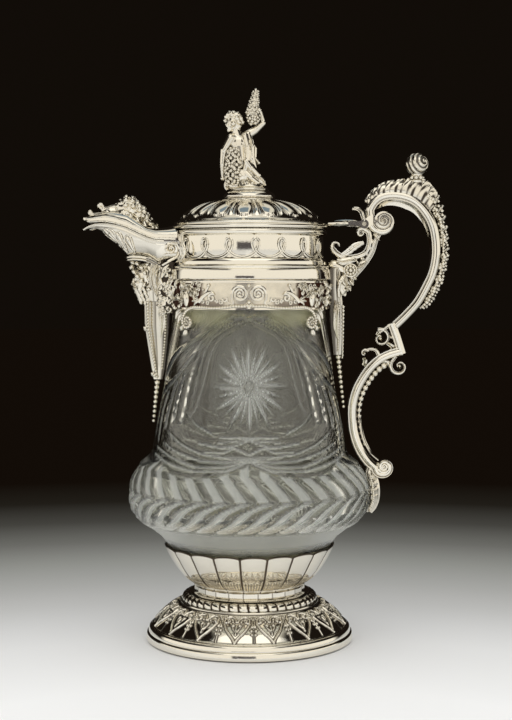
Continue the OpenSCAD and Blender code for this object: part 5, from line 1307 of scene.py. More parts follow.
def build_spout_mask(sizes):
    """Calm bearded mask under the spout, with its hair, a ribbed pilaster behind it, and the
    scrolls and foliage that lead the spout into the collar."""
    head = Shells()
    calm_head(head, (-60.4, 0, 201.6), 17.6, 0.0, -4)
    rng = np.random.default_rng(12)
    for side in (-1, 1):
        for x, y, z in ((-67.4, 1.6, 219.0), (-68.0, 3.4, 216.4), (-66.4, 5.0, 213.6), (-64.6, 4.6, 218.4),
                (-64.4, 6.0, 211.0), (-62.0, 6.4, 216.0), (-62.2, 6.4, 208.6), (-60.0, 7.2, 213.0),
                (-60.4, 6.2, 206.2), (-58.4, 6.6, 218.0), (-57.6, 7.6, 209.6), (-57.8, 6.0, 203.6)):
            egg(head, (x, side * y, z), (1.7, 1.5, 1.25), rng.uniform(-60, 60), 12, 8)
        for k in range(14):
            x, z = -66.4 + 2.6 * (k % 3) + 0.3 * (k // 3), 204.6 - 2.1 * (k // 3)
            egg(head, (x + 0.2 * k, side * (0.8 + 1.9 * (k % 3) - 0.1 * k), z - 0.5 * (k % 3)),
                (1.25, 1.15, 1.6), 25 * (-1) ** k, 12, 8)
        limb(head, (-67.4, side * 0.7, 206.4), (-65.8, side * 4.0, 203.8), 0.75, 0.6)
    limb(head, (-64.6, 0, 203.6), (-62.8, 0, 197.2), 2.6, 1.6)
    piece = make_piece("spout_mask_head", head, "spout_mask")
    fuse(piece, 0.3, 1)

    back = Shells()
    z = np.linspace(221.0, 196.6, 40)[:, None]
    v = np.linspace(-1, 1, 49)[None, :]
    wide = np.interp(z, [196.6, 205, 221], [8.2, 8.8, 9.6])
    front = np.interp(z, [196.6, 205, 214, 221], [-59.4, -60, -59.4, -58.6])
    ribbed(back, z, v, front + 9.0 * np.abs(v) ** 2.6, -46.9, wide, 6, -0.8, 0.96, 0.95)
    for side in (-1, 1):
        leaf(back, [(-50, side * 10.2, 221), (-54.5, side * 11.4, 215), (-55, side * 10.8, 207),
                (-52, side * 9.8, 199)], (1.0, 2.6, 3.0, 2.6, 1.0), (-0.4, side, 0), 0.8, 5, 0.2, 4)
        # the scroll at the spout's root: a curl that opens downwards, with a second ply beside it
        scroll = join(spiral((-44.2, 226.4), 0.5, 560, 3.3, 50, 40),
            smooth([(-40.9, 229.2), (-39.6, 226.0), (-40.8, 222.2), (-45.0, 219.6), (-49.0, 217.2)], 20))
        depth = np.interp(scroll[:, 0], (-49, -46, -39), (21.4, 22.6, 20.6))
        rod(back, in_xz(scroll, side * depth), np.interp(np.arange(60), (0, 30, 59), (0.7, 1.05, 0.7)), 8,
            (0, side, 0), 0.9)
        turn = -90 + side * 25
        for shift, top in ((0, 236.4), (-6, 233.0), (6, 234.6)):
            way = round_at(turn + side * shift, np.array([220.4, 225.6, 231.0, top]),
                np.array([43.4, 44.3, 44.6, 43.8]))
            leaf(back, way, (1.4, 2.5, 2.2, 0.7), outward(way[1]), 0.9, 5, 0.2, 4, (24, 15))
        for path in (((-37.6, 231.2), (-36.0, 226.0), (-37.2, 221.6), (-41.6, 218.6)),
                ((-45.4, 217.6), (-49.2, 214.4), (-50.6, 209.6), (-48.6, 205.4))):
            way = smooth(path, 20)
            round_collar = np.sqrt(np.maximum(46.6 ** 2 - way[:, 0] ** 2, 1)) - 0.6
            depth = np.where(way[:, 0] < -43.5, 17.5, round_collar)
            rod(back, in_xz(way, side * depth), 0.85 * tapered(20, 0.3), 8, (0, side, 0), 0.9)
        for k in range(40):
            middle = (rng.uniform(-52.5, -43.0), rng.uniform(190, 218))
            start = rng.uniform(0, 360)
            curl = spiral(middle, 0.3, start, rng.uniform(1.3, 2.1), start + rng.choice((-1, 1)) * 420, 20)
            y = side * (18.1 - 0.87 * (-curl[:, 0] - 43.5))
            rod(back, in_xz(curl, y), 0.66, 7, (-0.5, side, 0))
        # the dark ground that they lie on
        tall = np.array([[219.0] * 3, [189.0, 194.0, 203.0]])
        front = xyz((-43.2, -46.2, -52.6), side * np.array((17.2, 15.6, 9.2)), tall)
        rear = xyz((-42.2, -45.2, -50.6), side * np.array((16.2, 13.6, 7.2)), tall)
        slab(back, front, rear, 0.95)
    make_piece("spout_pilaster", back)


def build_spout_pendant(sizes):
    """Bib of long flutes with a roped edge, tapering down the glass to a string of drops."""
    bib = Shells()
    z = np.linspace(196.4, 151.4, 50)
    v = np.linspace(-1, 1, 41)[None, :]
    heights = [151, 158, 170, 182, 196]
    wide = np.interp(z, heights, [1.6, 3.4, 5.2, 6.8, 7.4])
    front = np.interp(z, heights, [-54.8, -56.0, -57.9, -59.8, -60.0])
    back = np.interp(z, heights, [-50.9, -49.4, -47.9, -46.9, -46.7])
    face = front[:, None] + (back - front)[:, None] * 0.75 * np.abs(v) ** 2.4
    ribbed(bib, z[:, None], v, face, back[:, None] + 0.3, wide[:, None], 4.5, -0.75, 0.94, 0.85)
    for side in (-1, 1):
        # a rope down the front edge and another behind it
        for top, low, count, line, off, out, r in ((196.0, 153.0, 26, front, 1.6, 0.1, 0.95),
                (194.0, 158.0, 22, back, -1.2, 0.2, 0.8)):
            at = mix(top, low, np.linspace(0, 1, count))
            balls(bib, xyz(read_off(z, line, at) + off, side * (read_off(z, wide, at) + out), at), r, 8, 5)
        leaf(bib, [(-52, side * 6.6, 196), (-50.6, side * 7.6, 190), (-50.2, side * 6.6, 183),
                (-50.8, side * 5.2, 176)], (0.8, 2.0, 2.4, 1.8, 0.5), (-0.5, side, 0), 0.7, 4, 0.2, 3)
    balls(bib, [(-59.6, 0, 181.2), (-55.6, 0, 154.6)], [2.2, 1.9], 16, 10)
    for side in (-1, 1):
        balls(bib, [(-58.6, side * 2.6, 180.4), (-55, side * 2.0, 153.8)], [1.4, 1.2], 12, 8)
    k = np.arange(9)
    way = xyz(np.interp(k, [0, 8], [-53.6, -55.8]), 0 * k, 149.6 - 2.8 * k)
    balls(bib, way, mix(1.7, 0.9, k / 8), 12, 8)
    make_piece("spout_bib", bib, "spout_pendant")


COVER = np.array([(-45.8, 0.96, 231.4, 239.8), (-50, 0.94, 231.6, 238.9), (-53, 0.91, 231.9, 238.4),
        (-58, 0.82, 233.5, 239.4), (-64, 0.7, 236.2, 243.6), (-70, 0.57, 239.1, 247.6),
        (-77, 0.45, 241.1, 248.4), (-81, 0.38, 241.9, 248.2), (-85, 0.31, 242.2, 247.4),
        (-88.6, 0.25, 242.1, 246.8), (-92.6, 0.17, 242.0, 246.0), (-95.8, 0.06, 243.8, 245.4)])


def build_cover(sizes):
    """Cover over the spout: a deep polished edge band that follows the rim, arched above it."""
    x = np.linspace(-46.2, -95.8, 64)[:, None]
    order = COVER[::-1]
    half, low, top = (np.interp(x, order[:, 0], order[:, k]) for k in (1, 2, 3))
    half = half * SPOUT_HALF
    a = np.linspace(0, np.pi, 37)[None, :]
    edge = np.minimum(3.4, (top - low) * 0.55)
    bend = np.sign(np.cos(a)) * np.abs(np.cos(a)) ** 0.6
    outer = xyz(to_collar(x, half * bend, COVER_SEAT), half * bend,
        low + edge + (top - low - edge) * np.sin(a) ** 1.2)
    wall = np.minimum(2.0, 0.3 * half)
    inner = xyz(to_collar(x, (half - wall) * bend, COVER_SEAT), (half - wall) * bend,
        low + edge - 1.0 + (top - low - edge) * 0.8 * np.sin(a) ** 1.2)

    def footed(arch):
        """The arch with a point at each end, straight down on the spout's rim."""
        feet = arch[:, [0, -1]]
        feet[..., 2] = low
        return np.concatenate([feet[:, :1], arch, feet[:, 1:]], 1)

    shells = Shells()
    slab(shells, footed(outer), footed(inner))
    for side in (-1, 1):
        for up, r in ((0.35, 0.5), (3.2, 0.45)):
            y = side * (half[1:-2, 0] + 0.05)
            way = xyz(to_collar(x[1:-2, 0], y, COVER_SEAT), y,
                np.minimum(low[1:-2, 0] + up, low[1:-2, 0] + edge[1:-2, 0]))
            rod(shells, way, r, 8, (0, side, 0))
    make_piece("cover_band", shells, "spout_cover", "lid", look="polished", crease=45)

    # curled beast mask: a low brow, a snout along the beak, and a mane of tight curls
    beast = Shells()
    egg(beast, (-69.5, 0, 249.4), (8.6, 7.6, 6.2), -12)
    egg(beast, (-78.4, 0, 248.6), (7.4, 4.2, 2.8), 6)
    egg(beast, (-63.0, 0, 245.6), (7.0, 8.0, 4.6), -38)
    egg(beast, (-57.4, 0, 241.4), (4.0, 7.8, 3.0), -30)
    rng = np.random.default_rng(4)
    rows = (((-75.0, 254.2), 1.5), ((-71.8, 256.4), 1.8), ((-67.6, 256.0), 1.8), ((-64.4, 253.4), 1.8),
        ((-61.6, 250.2), 1.8), ((-59.2, 246.8), 1.7), ((-56.6, 243.4), 1.6), ((-54.4, 240.4), 1.4))
    for (x, z), r in rows:
        for k, y in enumerate(np.linspace(0.0, 7.4, 4)):
            for side in ((1,) if y == 0 else (-1, 1)):
                drop = 0.085 * y ** 2 * (1.0 if x > -73 else 1.6)
                centre = np.array([x + rng.uniform(-0.6, 0.6) + 0.15 * y, side * y,
                        z - drop + rng.uniform(-0.4, 0.4)])
                balls(beast, [centre], r * (1 - 0.05 * k), 12, 8)
    for side in (-1, 1):
        for path, r in ((spiral((-85.6, 251.2), 0.4, 60, 1.9, 560, 26), 0.72),
                (spiral((-92.0, 247.6), 0.3, 60, 1.5, 500, 20), 0.6)):
            rod(beast, in_xz(path, side * 1.5), r * tapered(len(path), 0.15, 0.4), 8, (0, 1, 0), 1.7)
        limb(beast, (-84.6, side * 1.5, 249.4), (-76, side * 2.6, 251.6), 1.1, 1.5)
        limb(beast, (-91.4, side * 1.2, 246.4), (-82, side * 3.2, 247.2), 0.9, 1.3)
        egg(beast, (-75.2, side * 4.4, 251.2), (1.9, 1.3, 1.3))
        limb(beast, (-77.6, side * 2.2, 252.6), (-73.4, side * 5.4, 253.0), 0.8, 1.0)
        limb(beast, (-80.0, side * 3.8, 247.4), (-70.0, side * 8.4, 247.4), 1.0, 1.3)
        for k in range(4):
            limb(beast, (-72 + 4.0 * k, side * (8.2 + 0.5 * k), 248 - 2.2 * k),
                (-70.4 + 4.0 * k, side * (9.6 + 0.7 * k), 244.2 - 2.2 * k), 1.3, 0.8)
    piece = make_piece("cover_beast", beast, "cover_mask", "lid")
    fuse(piece, 0.36, 2)


# ------------------------------------------------------------------ handle
UPPER = join(spiral((77.3, 242.6), 1.4, 630, 7.6, 190, 60),
    smooth([(69.5, 245.2), (69.3, 249), (72.3, 253.7), (77, 256.6), (84, 257.3), (91.4, 255.8),
            (97.2, 252.6), (101.6, 247.8), (105, 242), (107.2, 234.6), (108, 224), (106.4, 214),
            (103.4, 206.6), (97.4, 195.8), (90.6, 188), (84.4, 182)], 120)[3:])
LOWER = join(smooth([(88.4, 167.2), (81, 165.2), (75, 162.1), (69.7, 157.2), (65, 150.2), (61.8, 143.3),
            (60.1, 135.4), (60.1, 127.6), (61.2, 119.5), (64.1, 111.1), (68.5, 104.4), (73.2, 100)], 90),
    spiral((78.2, 100.4), 5.2, 200, 1.2, 600, 46)[1:])


def moulded(half, thick, keel):
    """Section of the handle: a broad round back, a deep quirk, a thin inner rib, and a keel."""
    side = np.array([(0.0, 1.0), (0.5, 0.98), (0.8, 0.8), (0.97, 0.42), (1.0, 0.0), (0.97, -0.36),
            (0.88, -0.6), (0.68, -0.7), (0.66, -0.84), (0.8, -0.92), (0.82, -1.12), (0.66, -1.22),
            (0.3, -1.24 - 0.5 * keel / thick), (0.14, -1.24 - keel / thick)])
    both = np.concatenate([side, (side * np.array([-1, 1]))[:0:-1]])
    return both * np.array([half, thick])


def boss(shells, centre, depths, radii, sides):
    """Round boss through the eye of a volute, along Y."""
    c = raised([centre])[0]
    rod(shells, [(c[0], y, c[1]) for y in depths], radii, sides, (0, 0, 1))


def build_handle(sizes):
    """Two C-scrolls joined by a square corner, each ending in a volute."""
    half, thick = sizes.handle_width / MM / 2, 2.35
    shells = Shells()
    for path, grow, keel in ((UPPER, np.clip(np.arange(len(UPPER)) / 60, 0.42, 1), 3.4),
            (LOWER, np.clip((len(LOWER) - np.arange(len(LOWER))) / 50, 0.42, 1), 0.5)):
        count = len(path)
        s = np.clip((np.arange(count) - 60) / (count - 62), 0, 1) if keel > 1 else np.full(count, 0.5)
        sections = np.stack([moulded(half * mix(0.85, 1, g), thick * g,
                    keel * g * np.interp(s[k], (0, 0.08, 0.25, 0.45, 0.65), (0, 0.7, 1, 0.35, 0)) + 0.2 * g)
                for k, g in enumerate(grow)])
        band(shells, raised(path), sections)
    corner = even([(82.6, 183.4), (85.6, 175.4), (88.6, 165.8)], 12)
    band(shells, raised(corner), np.stack([moulded(half * 1.01, thick, 0.3)] * 12))
    make_piece("handle_scrolls_cast", shells, "handle", look="polished", crease=38)

    # volutes at the knee and corner, with their leaves
    curls = Shells()
    for path, wide, thin in ((join(spiral((75.9, 174.8), 1.0, 60, 5.3, 470, 60),
                    [(77.6, 180.0), (80.4, 182.2), (84.4, 183.2)]), 3.6, 0.85),
            (spiral((66.7, 166), 0.7, -80, 2.6, -330, 30), 3.0, 0.7),
            (join(spiral((86.9, 158.6), 1.0, 200, 5.2, -180, 56), [(82.0, 161), (84.6, 164.6)]), 3.6, 0.85),
            (smooth([(67.9, 168.2), (70.4, 168.6), (73.6, 167.8), (75.6, 164)], 12), 2.8, 1.0)):
        count = len(path)
        grow = mix(0.5, 1.0, np.clip(np.arange(count) / (0.7 * count), 0, 1))
        section = np.stack([moulded(wide * (0.8 + 0.2 * g), thin * 1.15 * g, 0.0) for g in grow])
        band(curls, raised(even(path, count)), section)
    for path, width, side in (([(80, 176.6), (82.6, 175.2), (85.6, 174.2)], (1.0, 2.8, 2.2, 0.6),
                (0, 0, 1)), ([(74.2, 176.2), (76.0, 178.6), (79.4, 180.2)], (0.6, 2.2, 2.6, 1.0),
                (-0.4, 0, 1)), ([(80.0, 172.2), (82.6, 170.6), (85.0, 168.6)], (0.6, 2.4, 2.8, 1.4),
                (0, 0, -1)), ([(82.4, 160.4), (79.4, 161.2), (76.6, 160.6)], (1.0, 2.4, 2.0, 0.6),
                (0, 0, -1)), ([(66.6, 163.6), (67.6, 161.4), (66.4, 158.8)], (0.6, 2.6, 2.2, 0.5),
                (-1, 0, 0.4))):
        leaf(curls, in_xz(raised(path)), width, side, 0.9, 5, 0.15, 3, (14, 13))
    for centre, r in (((75.9, 174.8), 1.7), ((86.9, 158.6), 1.7), ((66.7, 166.0), 1.1),
            ((78.2, 100.4), 1.5), ((77.3, 242.6), 1.8)):
        boss(curls, centre, np.linspace(-4.3, 4.3, 7), r * np.array([0.25, 0.75, 1, 1, 1, 0.75, 0.25]), 14)
    # tight rings on both faces of the top and bottom volutes
    for centre, r, first in (((77.3, 242.6), 5.6, 190), ((78.2, 100.4), 3.6, 200)):
        boss(curls, centre, (-3.4, -3.1, 0, 3.1, 3.4), np.array([0.6, 0.94, 1, 0.94, 0.6]) * r, 28)
        ring = spiral(raised([centre])[0], 0.5, first + 800, r, first, 80)
        for y in (-3.5, 3.5):
            rod(curls, in_xz(ring, y), np.linspace(0.5, 0.85, 80), 8)
    make_piece("handle_volutes", curls, "handle_scrolls", look="polished", crease=38)

    beads = Shells()
    way = raised(LOWER[10:74])
    t = unit(np.gradient(way, axis=0))
    side = np.stack([-t[:, 1], t[:, 0]], 1)
    k = np.linspace(0, 1, 64)
    way = way + side * (2.5 + mix(1.9, 1.1, k))[:, None]
    spots = even(way, 17)
    balls(beads, in_xz(spots), mix(2.0, 1.15, np.linspace(0, 1, 17)), 16, 10)
    band(beads, way, np.stack([circle(8, 0.8, 0.6)] * 64))
    tail = raised([(63.4, 129.6), (64.4, 126.2), (64.9, 121.8), (66.6, 115.4), (70.4, 108.4),
            (75.2, 103.8)])
    leaf(beads, in_xz(smooth(tail, 20)), (0.8, 3.0, 2.8, 2.4, 2.0, 1.2), (1, 0, 0.3), 0.7, 3, 0.1, 0,
        (20, 11))
    make_piece("handle_bead_string", beads, "handle_beads")


CREST_IN = smooth([(69.6, 250.6), (73, 256.4), (79, 259.2), (86, 259.6), (92.6, 258.2), (98.6, 254.8),
        (103.4, 249.6), (107, 243.6), (109.2, 237), (110.2, 230), (110.2, 220), (108.4, 212),
        (105.4, 204.6), (101.6, 197.6), (98, 192.6)], 120)
CREST_OUT = smooth([(66.4, 254), (71.2, 260.6), (78, 264.8), (86, 266.2), (94, 267), (101.4, 266.4),
        (107, 260.6), (110.6, 254.8), (113, 246), (114.6, 237), (115.4, 226), (114, 213.6), (110.4, 203),
        (105.4, 194.4), (100, 190.8)], 120)


def build_crest(sizes):
    """Acanthus over the top of the handle that breaks into a string of berries down its back, and
    the ribbed shell ball that crowns it."""
    low, high = raised(CREST_IN), raised(CREST_OUT)
    shells = Shells()
    # two plies of the long leaf over the shoulder, each fold a rib that runs with the scroll
    a = np.linspace(0, 0.42, 150)
    rows, tops = along(low, a), along(high, a)
    v = np.linspace(-1, 1, 41)[None, :]
    s = np.linspace(0, 1, 150)[:, None]
    lobe = 0.78 + 0.22 * np.abs(np.sin(np.pi * 9 * s + 1.2 * np.abs(v))) ** 0.6
    fold = 0.12 * np.sin(2 * np.pi * (13 * s + 2.2 * np.abs(v))) + 0.07 * np.sin(2 * np.pi * (5 * s
            - 1.5 * np.abs(v)))
    lift = np.clip((1 - v ** 2) ** 0.55 * lobe + fold * (1 - np.abs(v)), 0.03, 1.02)
    wide = 4.2 * (0.45 + 0.55 * np.sin(np.pi * np.clip(s * 1.15, 0, 1)) ** 0.5)
    place = rows[:, None] + (tops - rows)[:, None] * lift[..., None]
    outer = xyz(place[..., 0], v * wide, place[..., 1])
    inner = xyz(rows[:, None, 0] - 0.4 * (tops - rows)[:, None, 0], v * wide * 0.8,
        rows[:, None, 1] - 0.35 * (tops - rows)[:, None, 1])
    slab(shells, outer, inner, np.clip(-fold * 9, 0, 0.95) * np.ones_like(v))
    rng = np.random.default_rng(7)
    t = np.linspace(0.30, 0.985, 42)
    for k, at in enumerate(t):
        p = along(low, at)
        out = along(high, at) - p
        span = np.linalg.norm(out)
        for y, f, r in ((-1.6, 0.46, 1.2), (1.6, 0.6, 1.2), (-0.6, 0.82, 1.0), (0, 0.28, 1.3)):
            c = p + out * (f + rng.uniform(-0.15, 0.12))
            size = min(r, 0.25 * span) * rng.uniform(0.62, 1.15)
            balls(shells, [(c[0], y * (1 - 0.25 * at) + rng.uniform(-0.2, 0.2), c[1])], size, 10, 7)
        if k % 3 == 1:
            c, d = p + out * 0.45, p + out
            leaf(shells, in_xz([c, mix(c, d, 0.6), d]), (1.6, 1.9, 0.4),
                unit(np.array([out[1], 0, -out[0]])), 0.6, 3, 0.1, 0, (8, 9))
    spine = mix(low, high, 0.34)[34:]
    band(shells, spine, np.stack([circle(8, 1.5, 1.0)] * len(spine)))
    for side in (-1, 1):
        wire = raised(smooth([(68.4, 248.6), (69.4, 252.6), (72.6, 256.6), (76.6, 258.6), (81, 259.2)], 24))
        rod(shells, in_xz(wire, side * 2.6), 0.6, 8)
    make_piece("handle_crest_leaf", shells, "handle_crest")

    ball = Shells()
    c = raised([(96.6, 275)])[0]
    centre = np.array([c[0], 0, c[1]])
    rows, across = 60, 96
    lat = np.linspace(0.05, np.pi - 0.05, rows)[:, None]
    lon = 2 * np.pi * np.arange(across)[None, :] / across
    rib = 0.24 * np.cos(13 * lat + lon)
    r = 6.45 + rib
    eye = unit(np.array([0.62, -0.74, 0.22]))
    e1 = unit(np.cross(eye, [0, 0, 1.0]))
    e2 = np.cross(eye, e1)
    rings = centre + (r * np.cos(lat))[..., None] * eye + (r * np.sin(lat) * np.cos(lon))[...,
        None] * e1 + (r * np.sin(lat) * np.sin(lon))[..., None] * e2
    skin(ball, rings, np.clip(-rib * 4.4, 0, 0.9) + 0 * lon)
    for k in range(7):
        a = math.tau * k / 7
        tip = centre + np.array([3.2 * math.cos(a), 3.2 * math.sin(a), -7.6])
        balls(ball, [tip], 1.3, 10, 7)
    rod(ball, [(c[0], 0, z) for z in (c[1] - 10.4, c[1] - 9.4, c[1] - 8.2, c[1] - 7.0, c[1] - 5.6)],
        np.array([3.4, 3.6, 2.6, 3.2, 3.8]), 18, (0, 1, 0))
    make_piece("handle_ball_shell", ball, "handle_ball")


# ------------------------------------------------------------------ bracket between collar and handle
def build_bracket(sizes):
    """C-scroll that carries the handle off the collar, the leaf and rosette under it, and the mask
    with its long braid on the apron."""
    scroll = Shells()
    path = join(spiral((64.6, 235.6), 0.7, 420, 2.7, 60, 30),
        smooth([(66.2, 237.9), (68.6, 236.6), (69.6, 232), (69, 227.4), (66.4, 223.4), (61, 221.4),
                (54.4, 221.4), (49.8, 224), (47.6, 227.4), (48.6, 230), (51.4, 229.6), (51.8, 227.8)],
            60)[4:])
    count = len(path)
    grow = np.minimum(np.clip(np.arange(count) / 28, 0.4, 1),
        np.clip((count - np.arange(count)) / 14, 0.45, 1))
    band(scroll, raised(path), np.stack([moulded(3.4, 1.55 * g, 0.0) * np.array([mix(0.8, 1, g), 1])
                for g in grow]))
    boss(scroll, (64.6, 235.6), np.linspace(-3.4, 3.4, 7), (0.3, 0.8, 1, 1, 1, 0.8, 0.3), 12)
    for side in (-1, 0, 1):
        leaf(scroll, [(53.0, side * 2.2, 222.6), (56.4, side * 2.6, 224.6 + abs(side) * 0.4),
                (61.0, side * 2.6, 228.4), (66.0, side * 2.2, 230.2)], (1.2, 2.4, 2.3, 0.6),
            (-0.3, 0.7 * side, 1), 1.1, 5, 0.25, 5, (34, 21))
    make_piece("bracket_scroll_cast", scroll, "bracket_scroll", look="polished",
        crease=38)

    foliage = Shells()
    way = in_xz(raised([(74.6, 236.6), (72.8, 231), (70.4, 224), (65.8, 217), (60.2, 210.4),
                (56.0, 204.6)]))
    leaf(foliage, way, (0.6, 3.0, 3.8, 3.2, 3.8, 3.2, 2.4, 0.8), (1, 0, -0.6), 1.1, 7, 0.25, 5, (44, 25))
    leaf(foliage, in_xz(raised([(77.0, 241.0), (75.6, 236.0), (72.4, 230.4), (70.8, 227.0)])),
        (0.4, 2.4, 2.8, 1.0), (1, 0, -0.5), 0.8, 5, 0.2, 3, (22, 15))
    for k in range(11):
        t = k / 10
        x, z = mix(75.2, 56.8, t) - 1.2 * math.sin(math.pi * t), mix(238.0, 205.6, t)
        for side in (-1, 1):
            path = [(x - 0.6, side * 1.4, z + 0.8), (x + 0.9, side * 2.4, z - 1.0),
                (x + 1.6, side * 2.0, z - 3.0)]
            leaf(foliage, path, (1.2, 1.7, 0.3), (0.6, side, 0.2), 0.7, 3, 0.15, 2, (14, 9))
    for side in (-1, 1):
        rose = np.array([58.3, side * 3.7, 214.5])
        for k in range(8):
            a = math.tau * k / 8
            balls(foliage, [rose + (2.2 * math.cos(a), side * 0.2, 2.2 * math.sin(a))], [[1.15, 1.5, 1.15]],
                10, 7)
        balls(foliage, [rose + (0, side * 1.2, 0)], 1.25, 12, 8)
        ring = np.linspace(0, 2 * np.pi, 30, endpoint=False)
        rod(foliage, rose + xyz(3.6 * np.cos(ring), 0 * ring + side * 0.2, 3.6 * np.sin(ring)), 0.55, 7,
            (0, 1, 0), 1.0, True)
        for path, width in (([(50.4, 219.6), (53.6, 219.0), (57.6, 219.8), (62, 219.6)],
                    (1.2, 2.6, 2.2, 0.6)), ([(62.6, 215.2), (65.0, 217.4), (67.4, 219.4)], (1.0, 2.4, 0.6)),
                ([(55.2, 211.6), (55.0, 208.0), (56.6, 204.8)], (1.0, 2.2, 0.5)),
                ([(50.4, 215.6), (50.2, 211.0), (51.6, 207.0)], (1.2, 2.4, 0.6))):
            points = in_xz(raised(path), side * 4.0)
            leaf(foliage, points, width, (0.3, side, 0), 0.9, 5, 0.2, 3, (16, 13))
    limb(foliage, (49.0, 0, 217.4), (58.0, 0, 213.2), 3.6, 3.0)
    make_piece("bracket_foliage", foliage, "bracket_leaf")

    mask = Shells()
    calm_head(mask, (52.2, 0, 199.6), 11.5, 180, -4)
    for side in (-1, 1):
        for a, b in (((55.6, 1.0, 211.4), (54.4, 3.6, 210.2)), ((54.0, 3.8, 210.4), (52.2, 5.0, 207.6)),
                ((52.0, 5.0, 208.0), (51.2, 5.0, 203.4)), ((51.2, 4.8, 203.8), (51.6, 3.6, 199.4))):
            limb(mask, (a[0], side * a[1], a[2]), (b[0], side * b[1], b[2]), 1.25, 1.1)
    piece = make_piece("bracket_mask_head", mask, "bracket_mask")
    fuse(piece, 0.3, 2)

    herm = Shells()
    z = np.linspace(215.6, 165.6, 50)
    v = np.linspace(-1, 1, 19)[None, :]
    heights = [165, 174, 184, 196, 205, 216]
    wide = np.interp(z, heights, [2.0, 3.4, 4.5, 5.4, 6.2, 6.2])
    front = np.interp(z, heights, [52.9, 53.2, 53.5, 53.5, 52.4, 52.8])
    back = np.interp(z, heights, [49.2, 48.2, 47.2, 46.8, 46.7, 46.7])
    face = front[:, None] - (front - back)[:, None] * 0.7 * np.abs(v) ** 2.4
    ribbed(herm, z[:, None], v, face, back[:, None] - 0.2, wide[:, None], 4.5, 0.4, 0.94, 0.85)
    for side in (-1, 1):
        for k in range(14):
            lean, top = side * 0.9 * (1 - 0.05 * k) * (1 if k % 2 else -1), 193.4 - 2.15 * k
            limb(herm, (54.2, lean, top), (53.9, -lean * 0.4, top - 1.7), 1.15 - 0.045 * k, 0.9 - 0.04 * k)
        at = np.linspace(195.6, 168.0, 20)
        balls(herm, xyz(read_off(z, front, at) - 1.8, side * (read_off(z, wide, at) + 0.1), at), 0.75, 8, 5)
        leaf(herm, [(49.6, side * 5.8, 197), (50.4, side * 6.6, 190), (50.2, side * 5.4, 182),
                (51, side * 4.2, 175)], (0.8, 2.0, 2.2, 1.6, 0.4), (0.5, side, 0), 0.7, 4, 0.2, 3)
    j = np.arange(11)
    balls(herm, xyz(np.interp(j, [0, 10], [51.6, 54.8]), 0 * j, 164.4 - 2.9 * j), mix(1.6, 0.9, j / 10), 12,
        8)
    make_piece("bracket_herm", herm)


def build_hinge(sizes):
    """The leaf of the strap hinge and the two small leaves that serve as a thumbpiece. The
    knuckles and the pin are the construction's own."""
    strap = Shells()
    leaf(strap, [(42.4, 0, 240.0), (47.0, 0, 241.0), (53.0, 0, 242.0), (58.8, 0, 242.2), (63.0, 0, 241.6)],
        (1.0, 4.4, 6.6, 7.2, 6.4, 5.0, 3.4), (0, 0, 1), 1.0, 7, 0.08, 5, (44, 27))
    make_piece("strap_leaf", strap, body="lid")
    thumb = Shells()
    for side in (-1, 1):
        y = side * 6.4
        leaf(thumb, [(66.0, y, 242.6), (65.0, y, 245.4), (64.0, y * 1.02, 248.0), (62.2, y * 1.04, 249.5),
                (59.9, y * 1.04, 249.9)], (1.0, 1.5, 1.7, 1.4, 0.4), (0.9, 0, 0.5), 0.7, 4, -0.1, 2,
            (24, 11))
    make_piece("thumb_leaves", thumb, "thumbpiece", "lid")


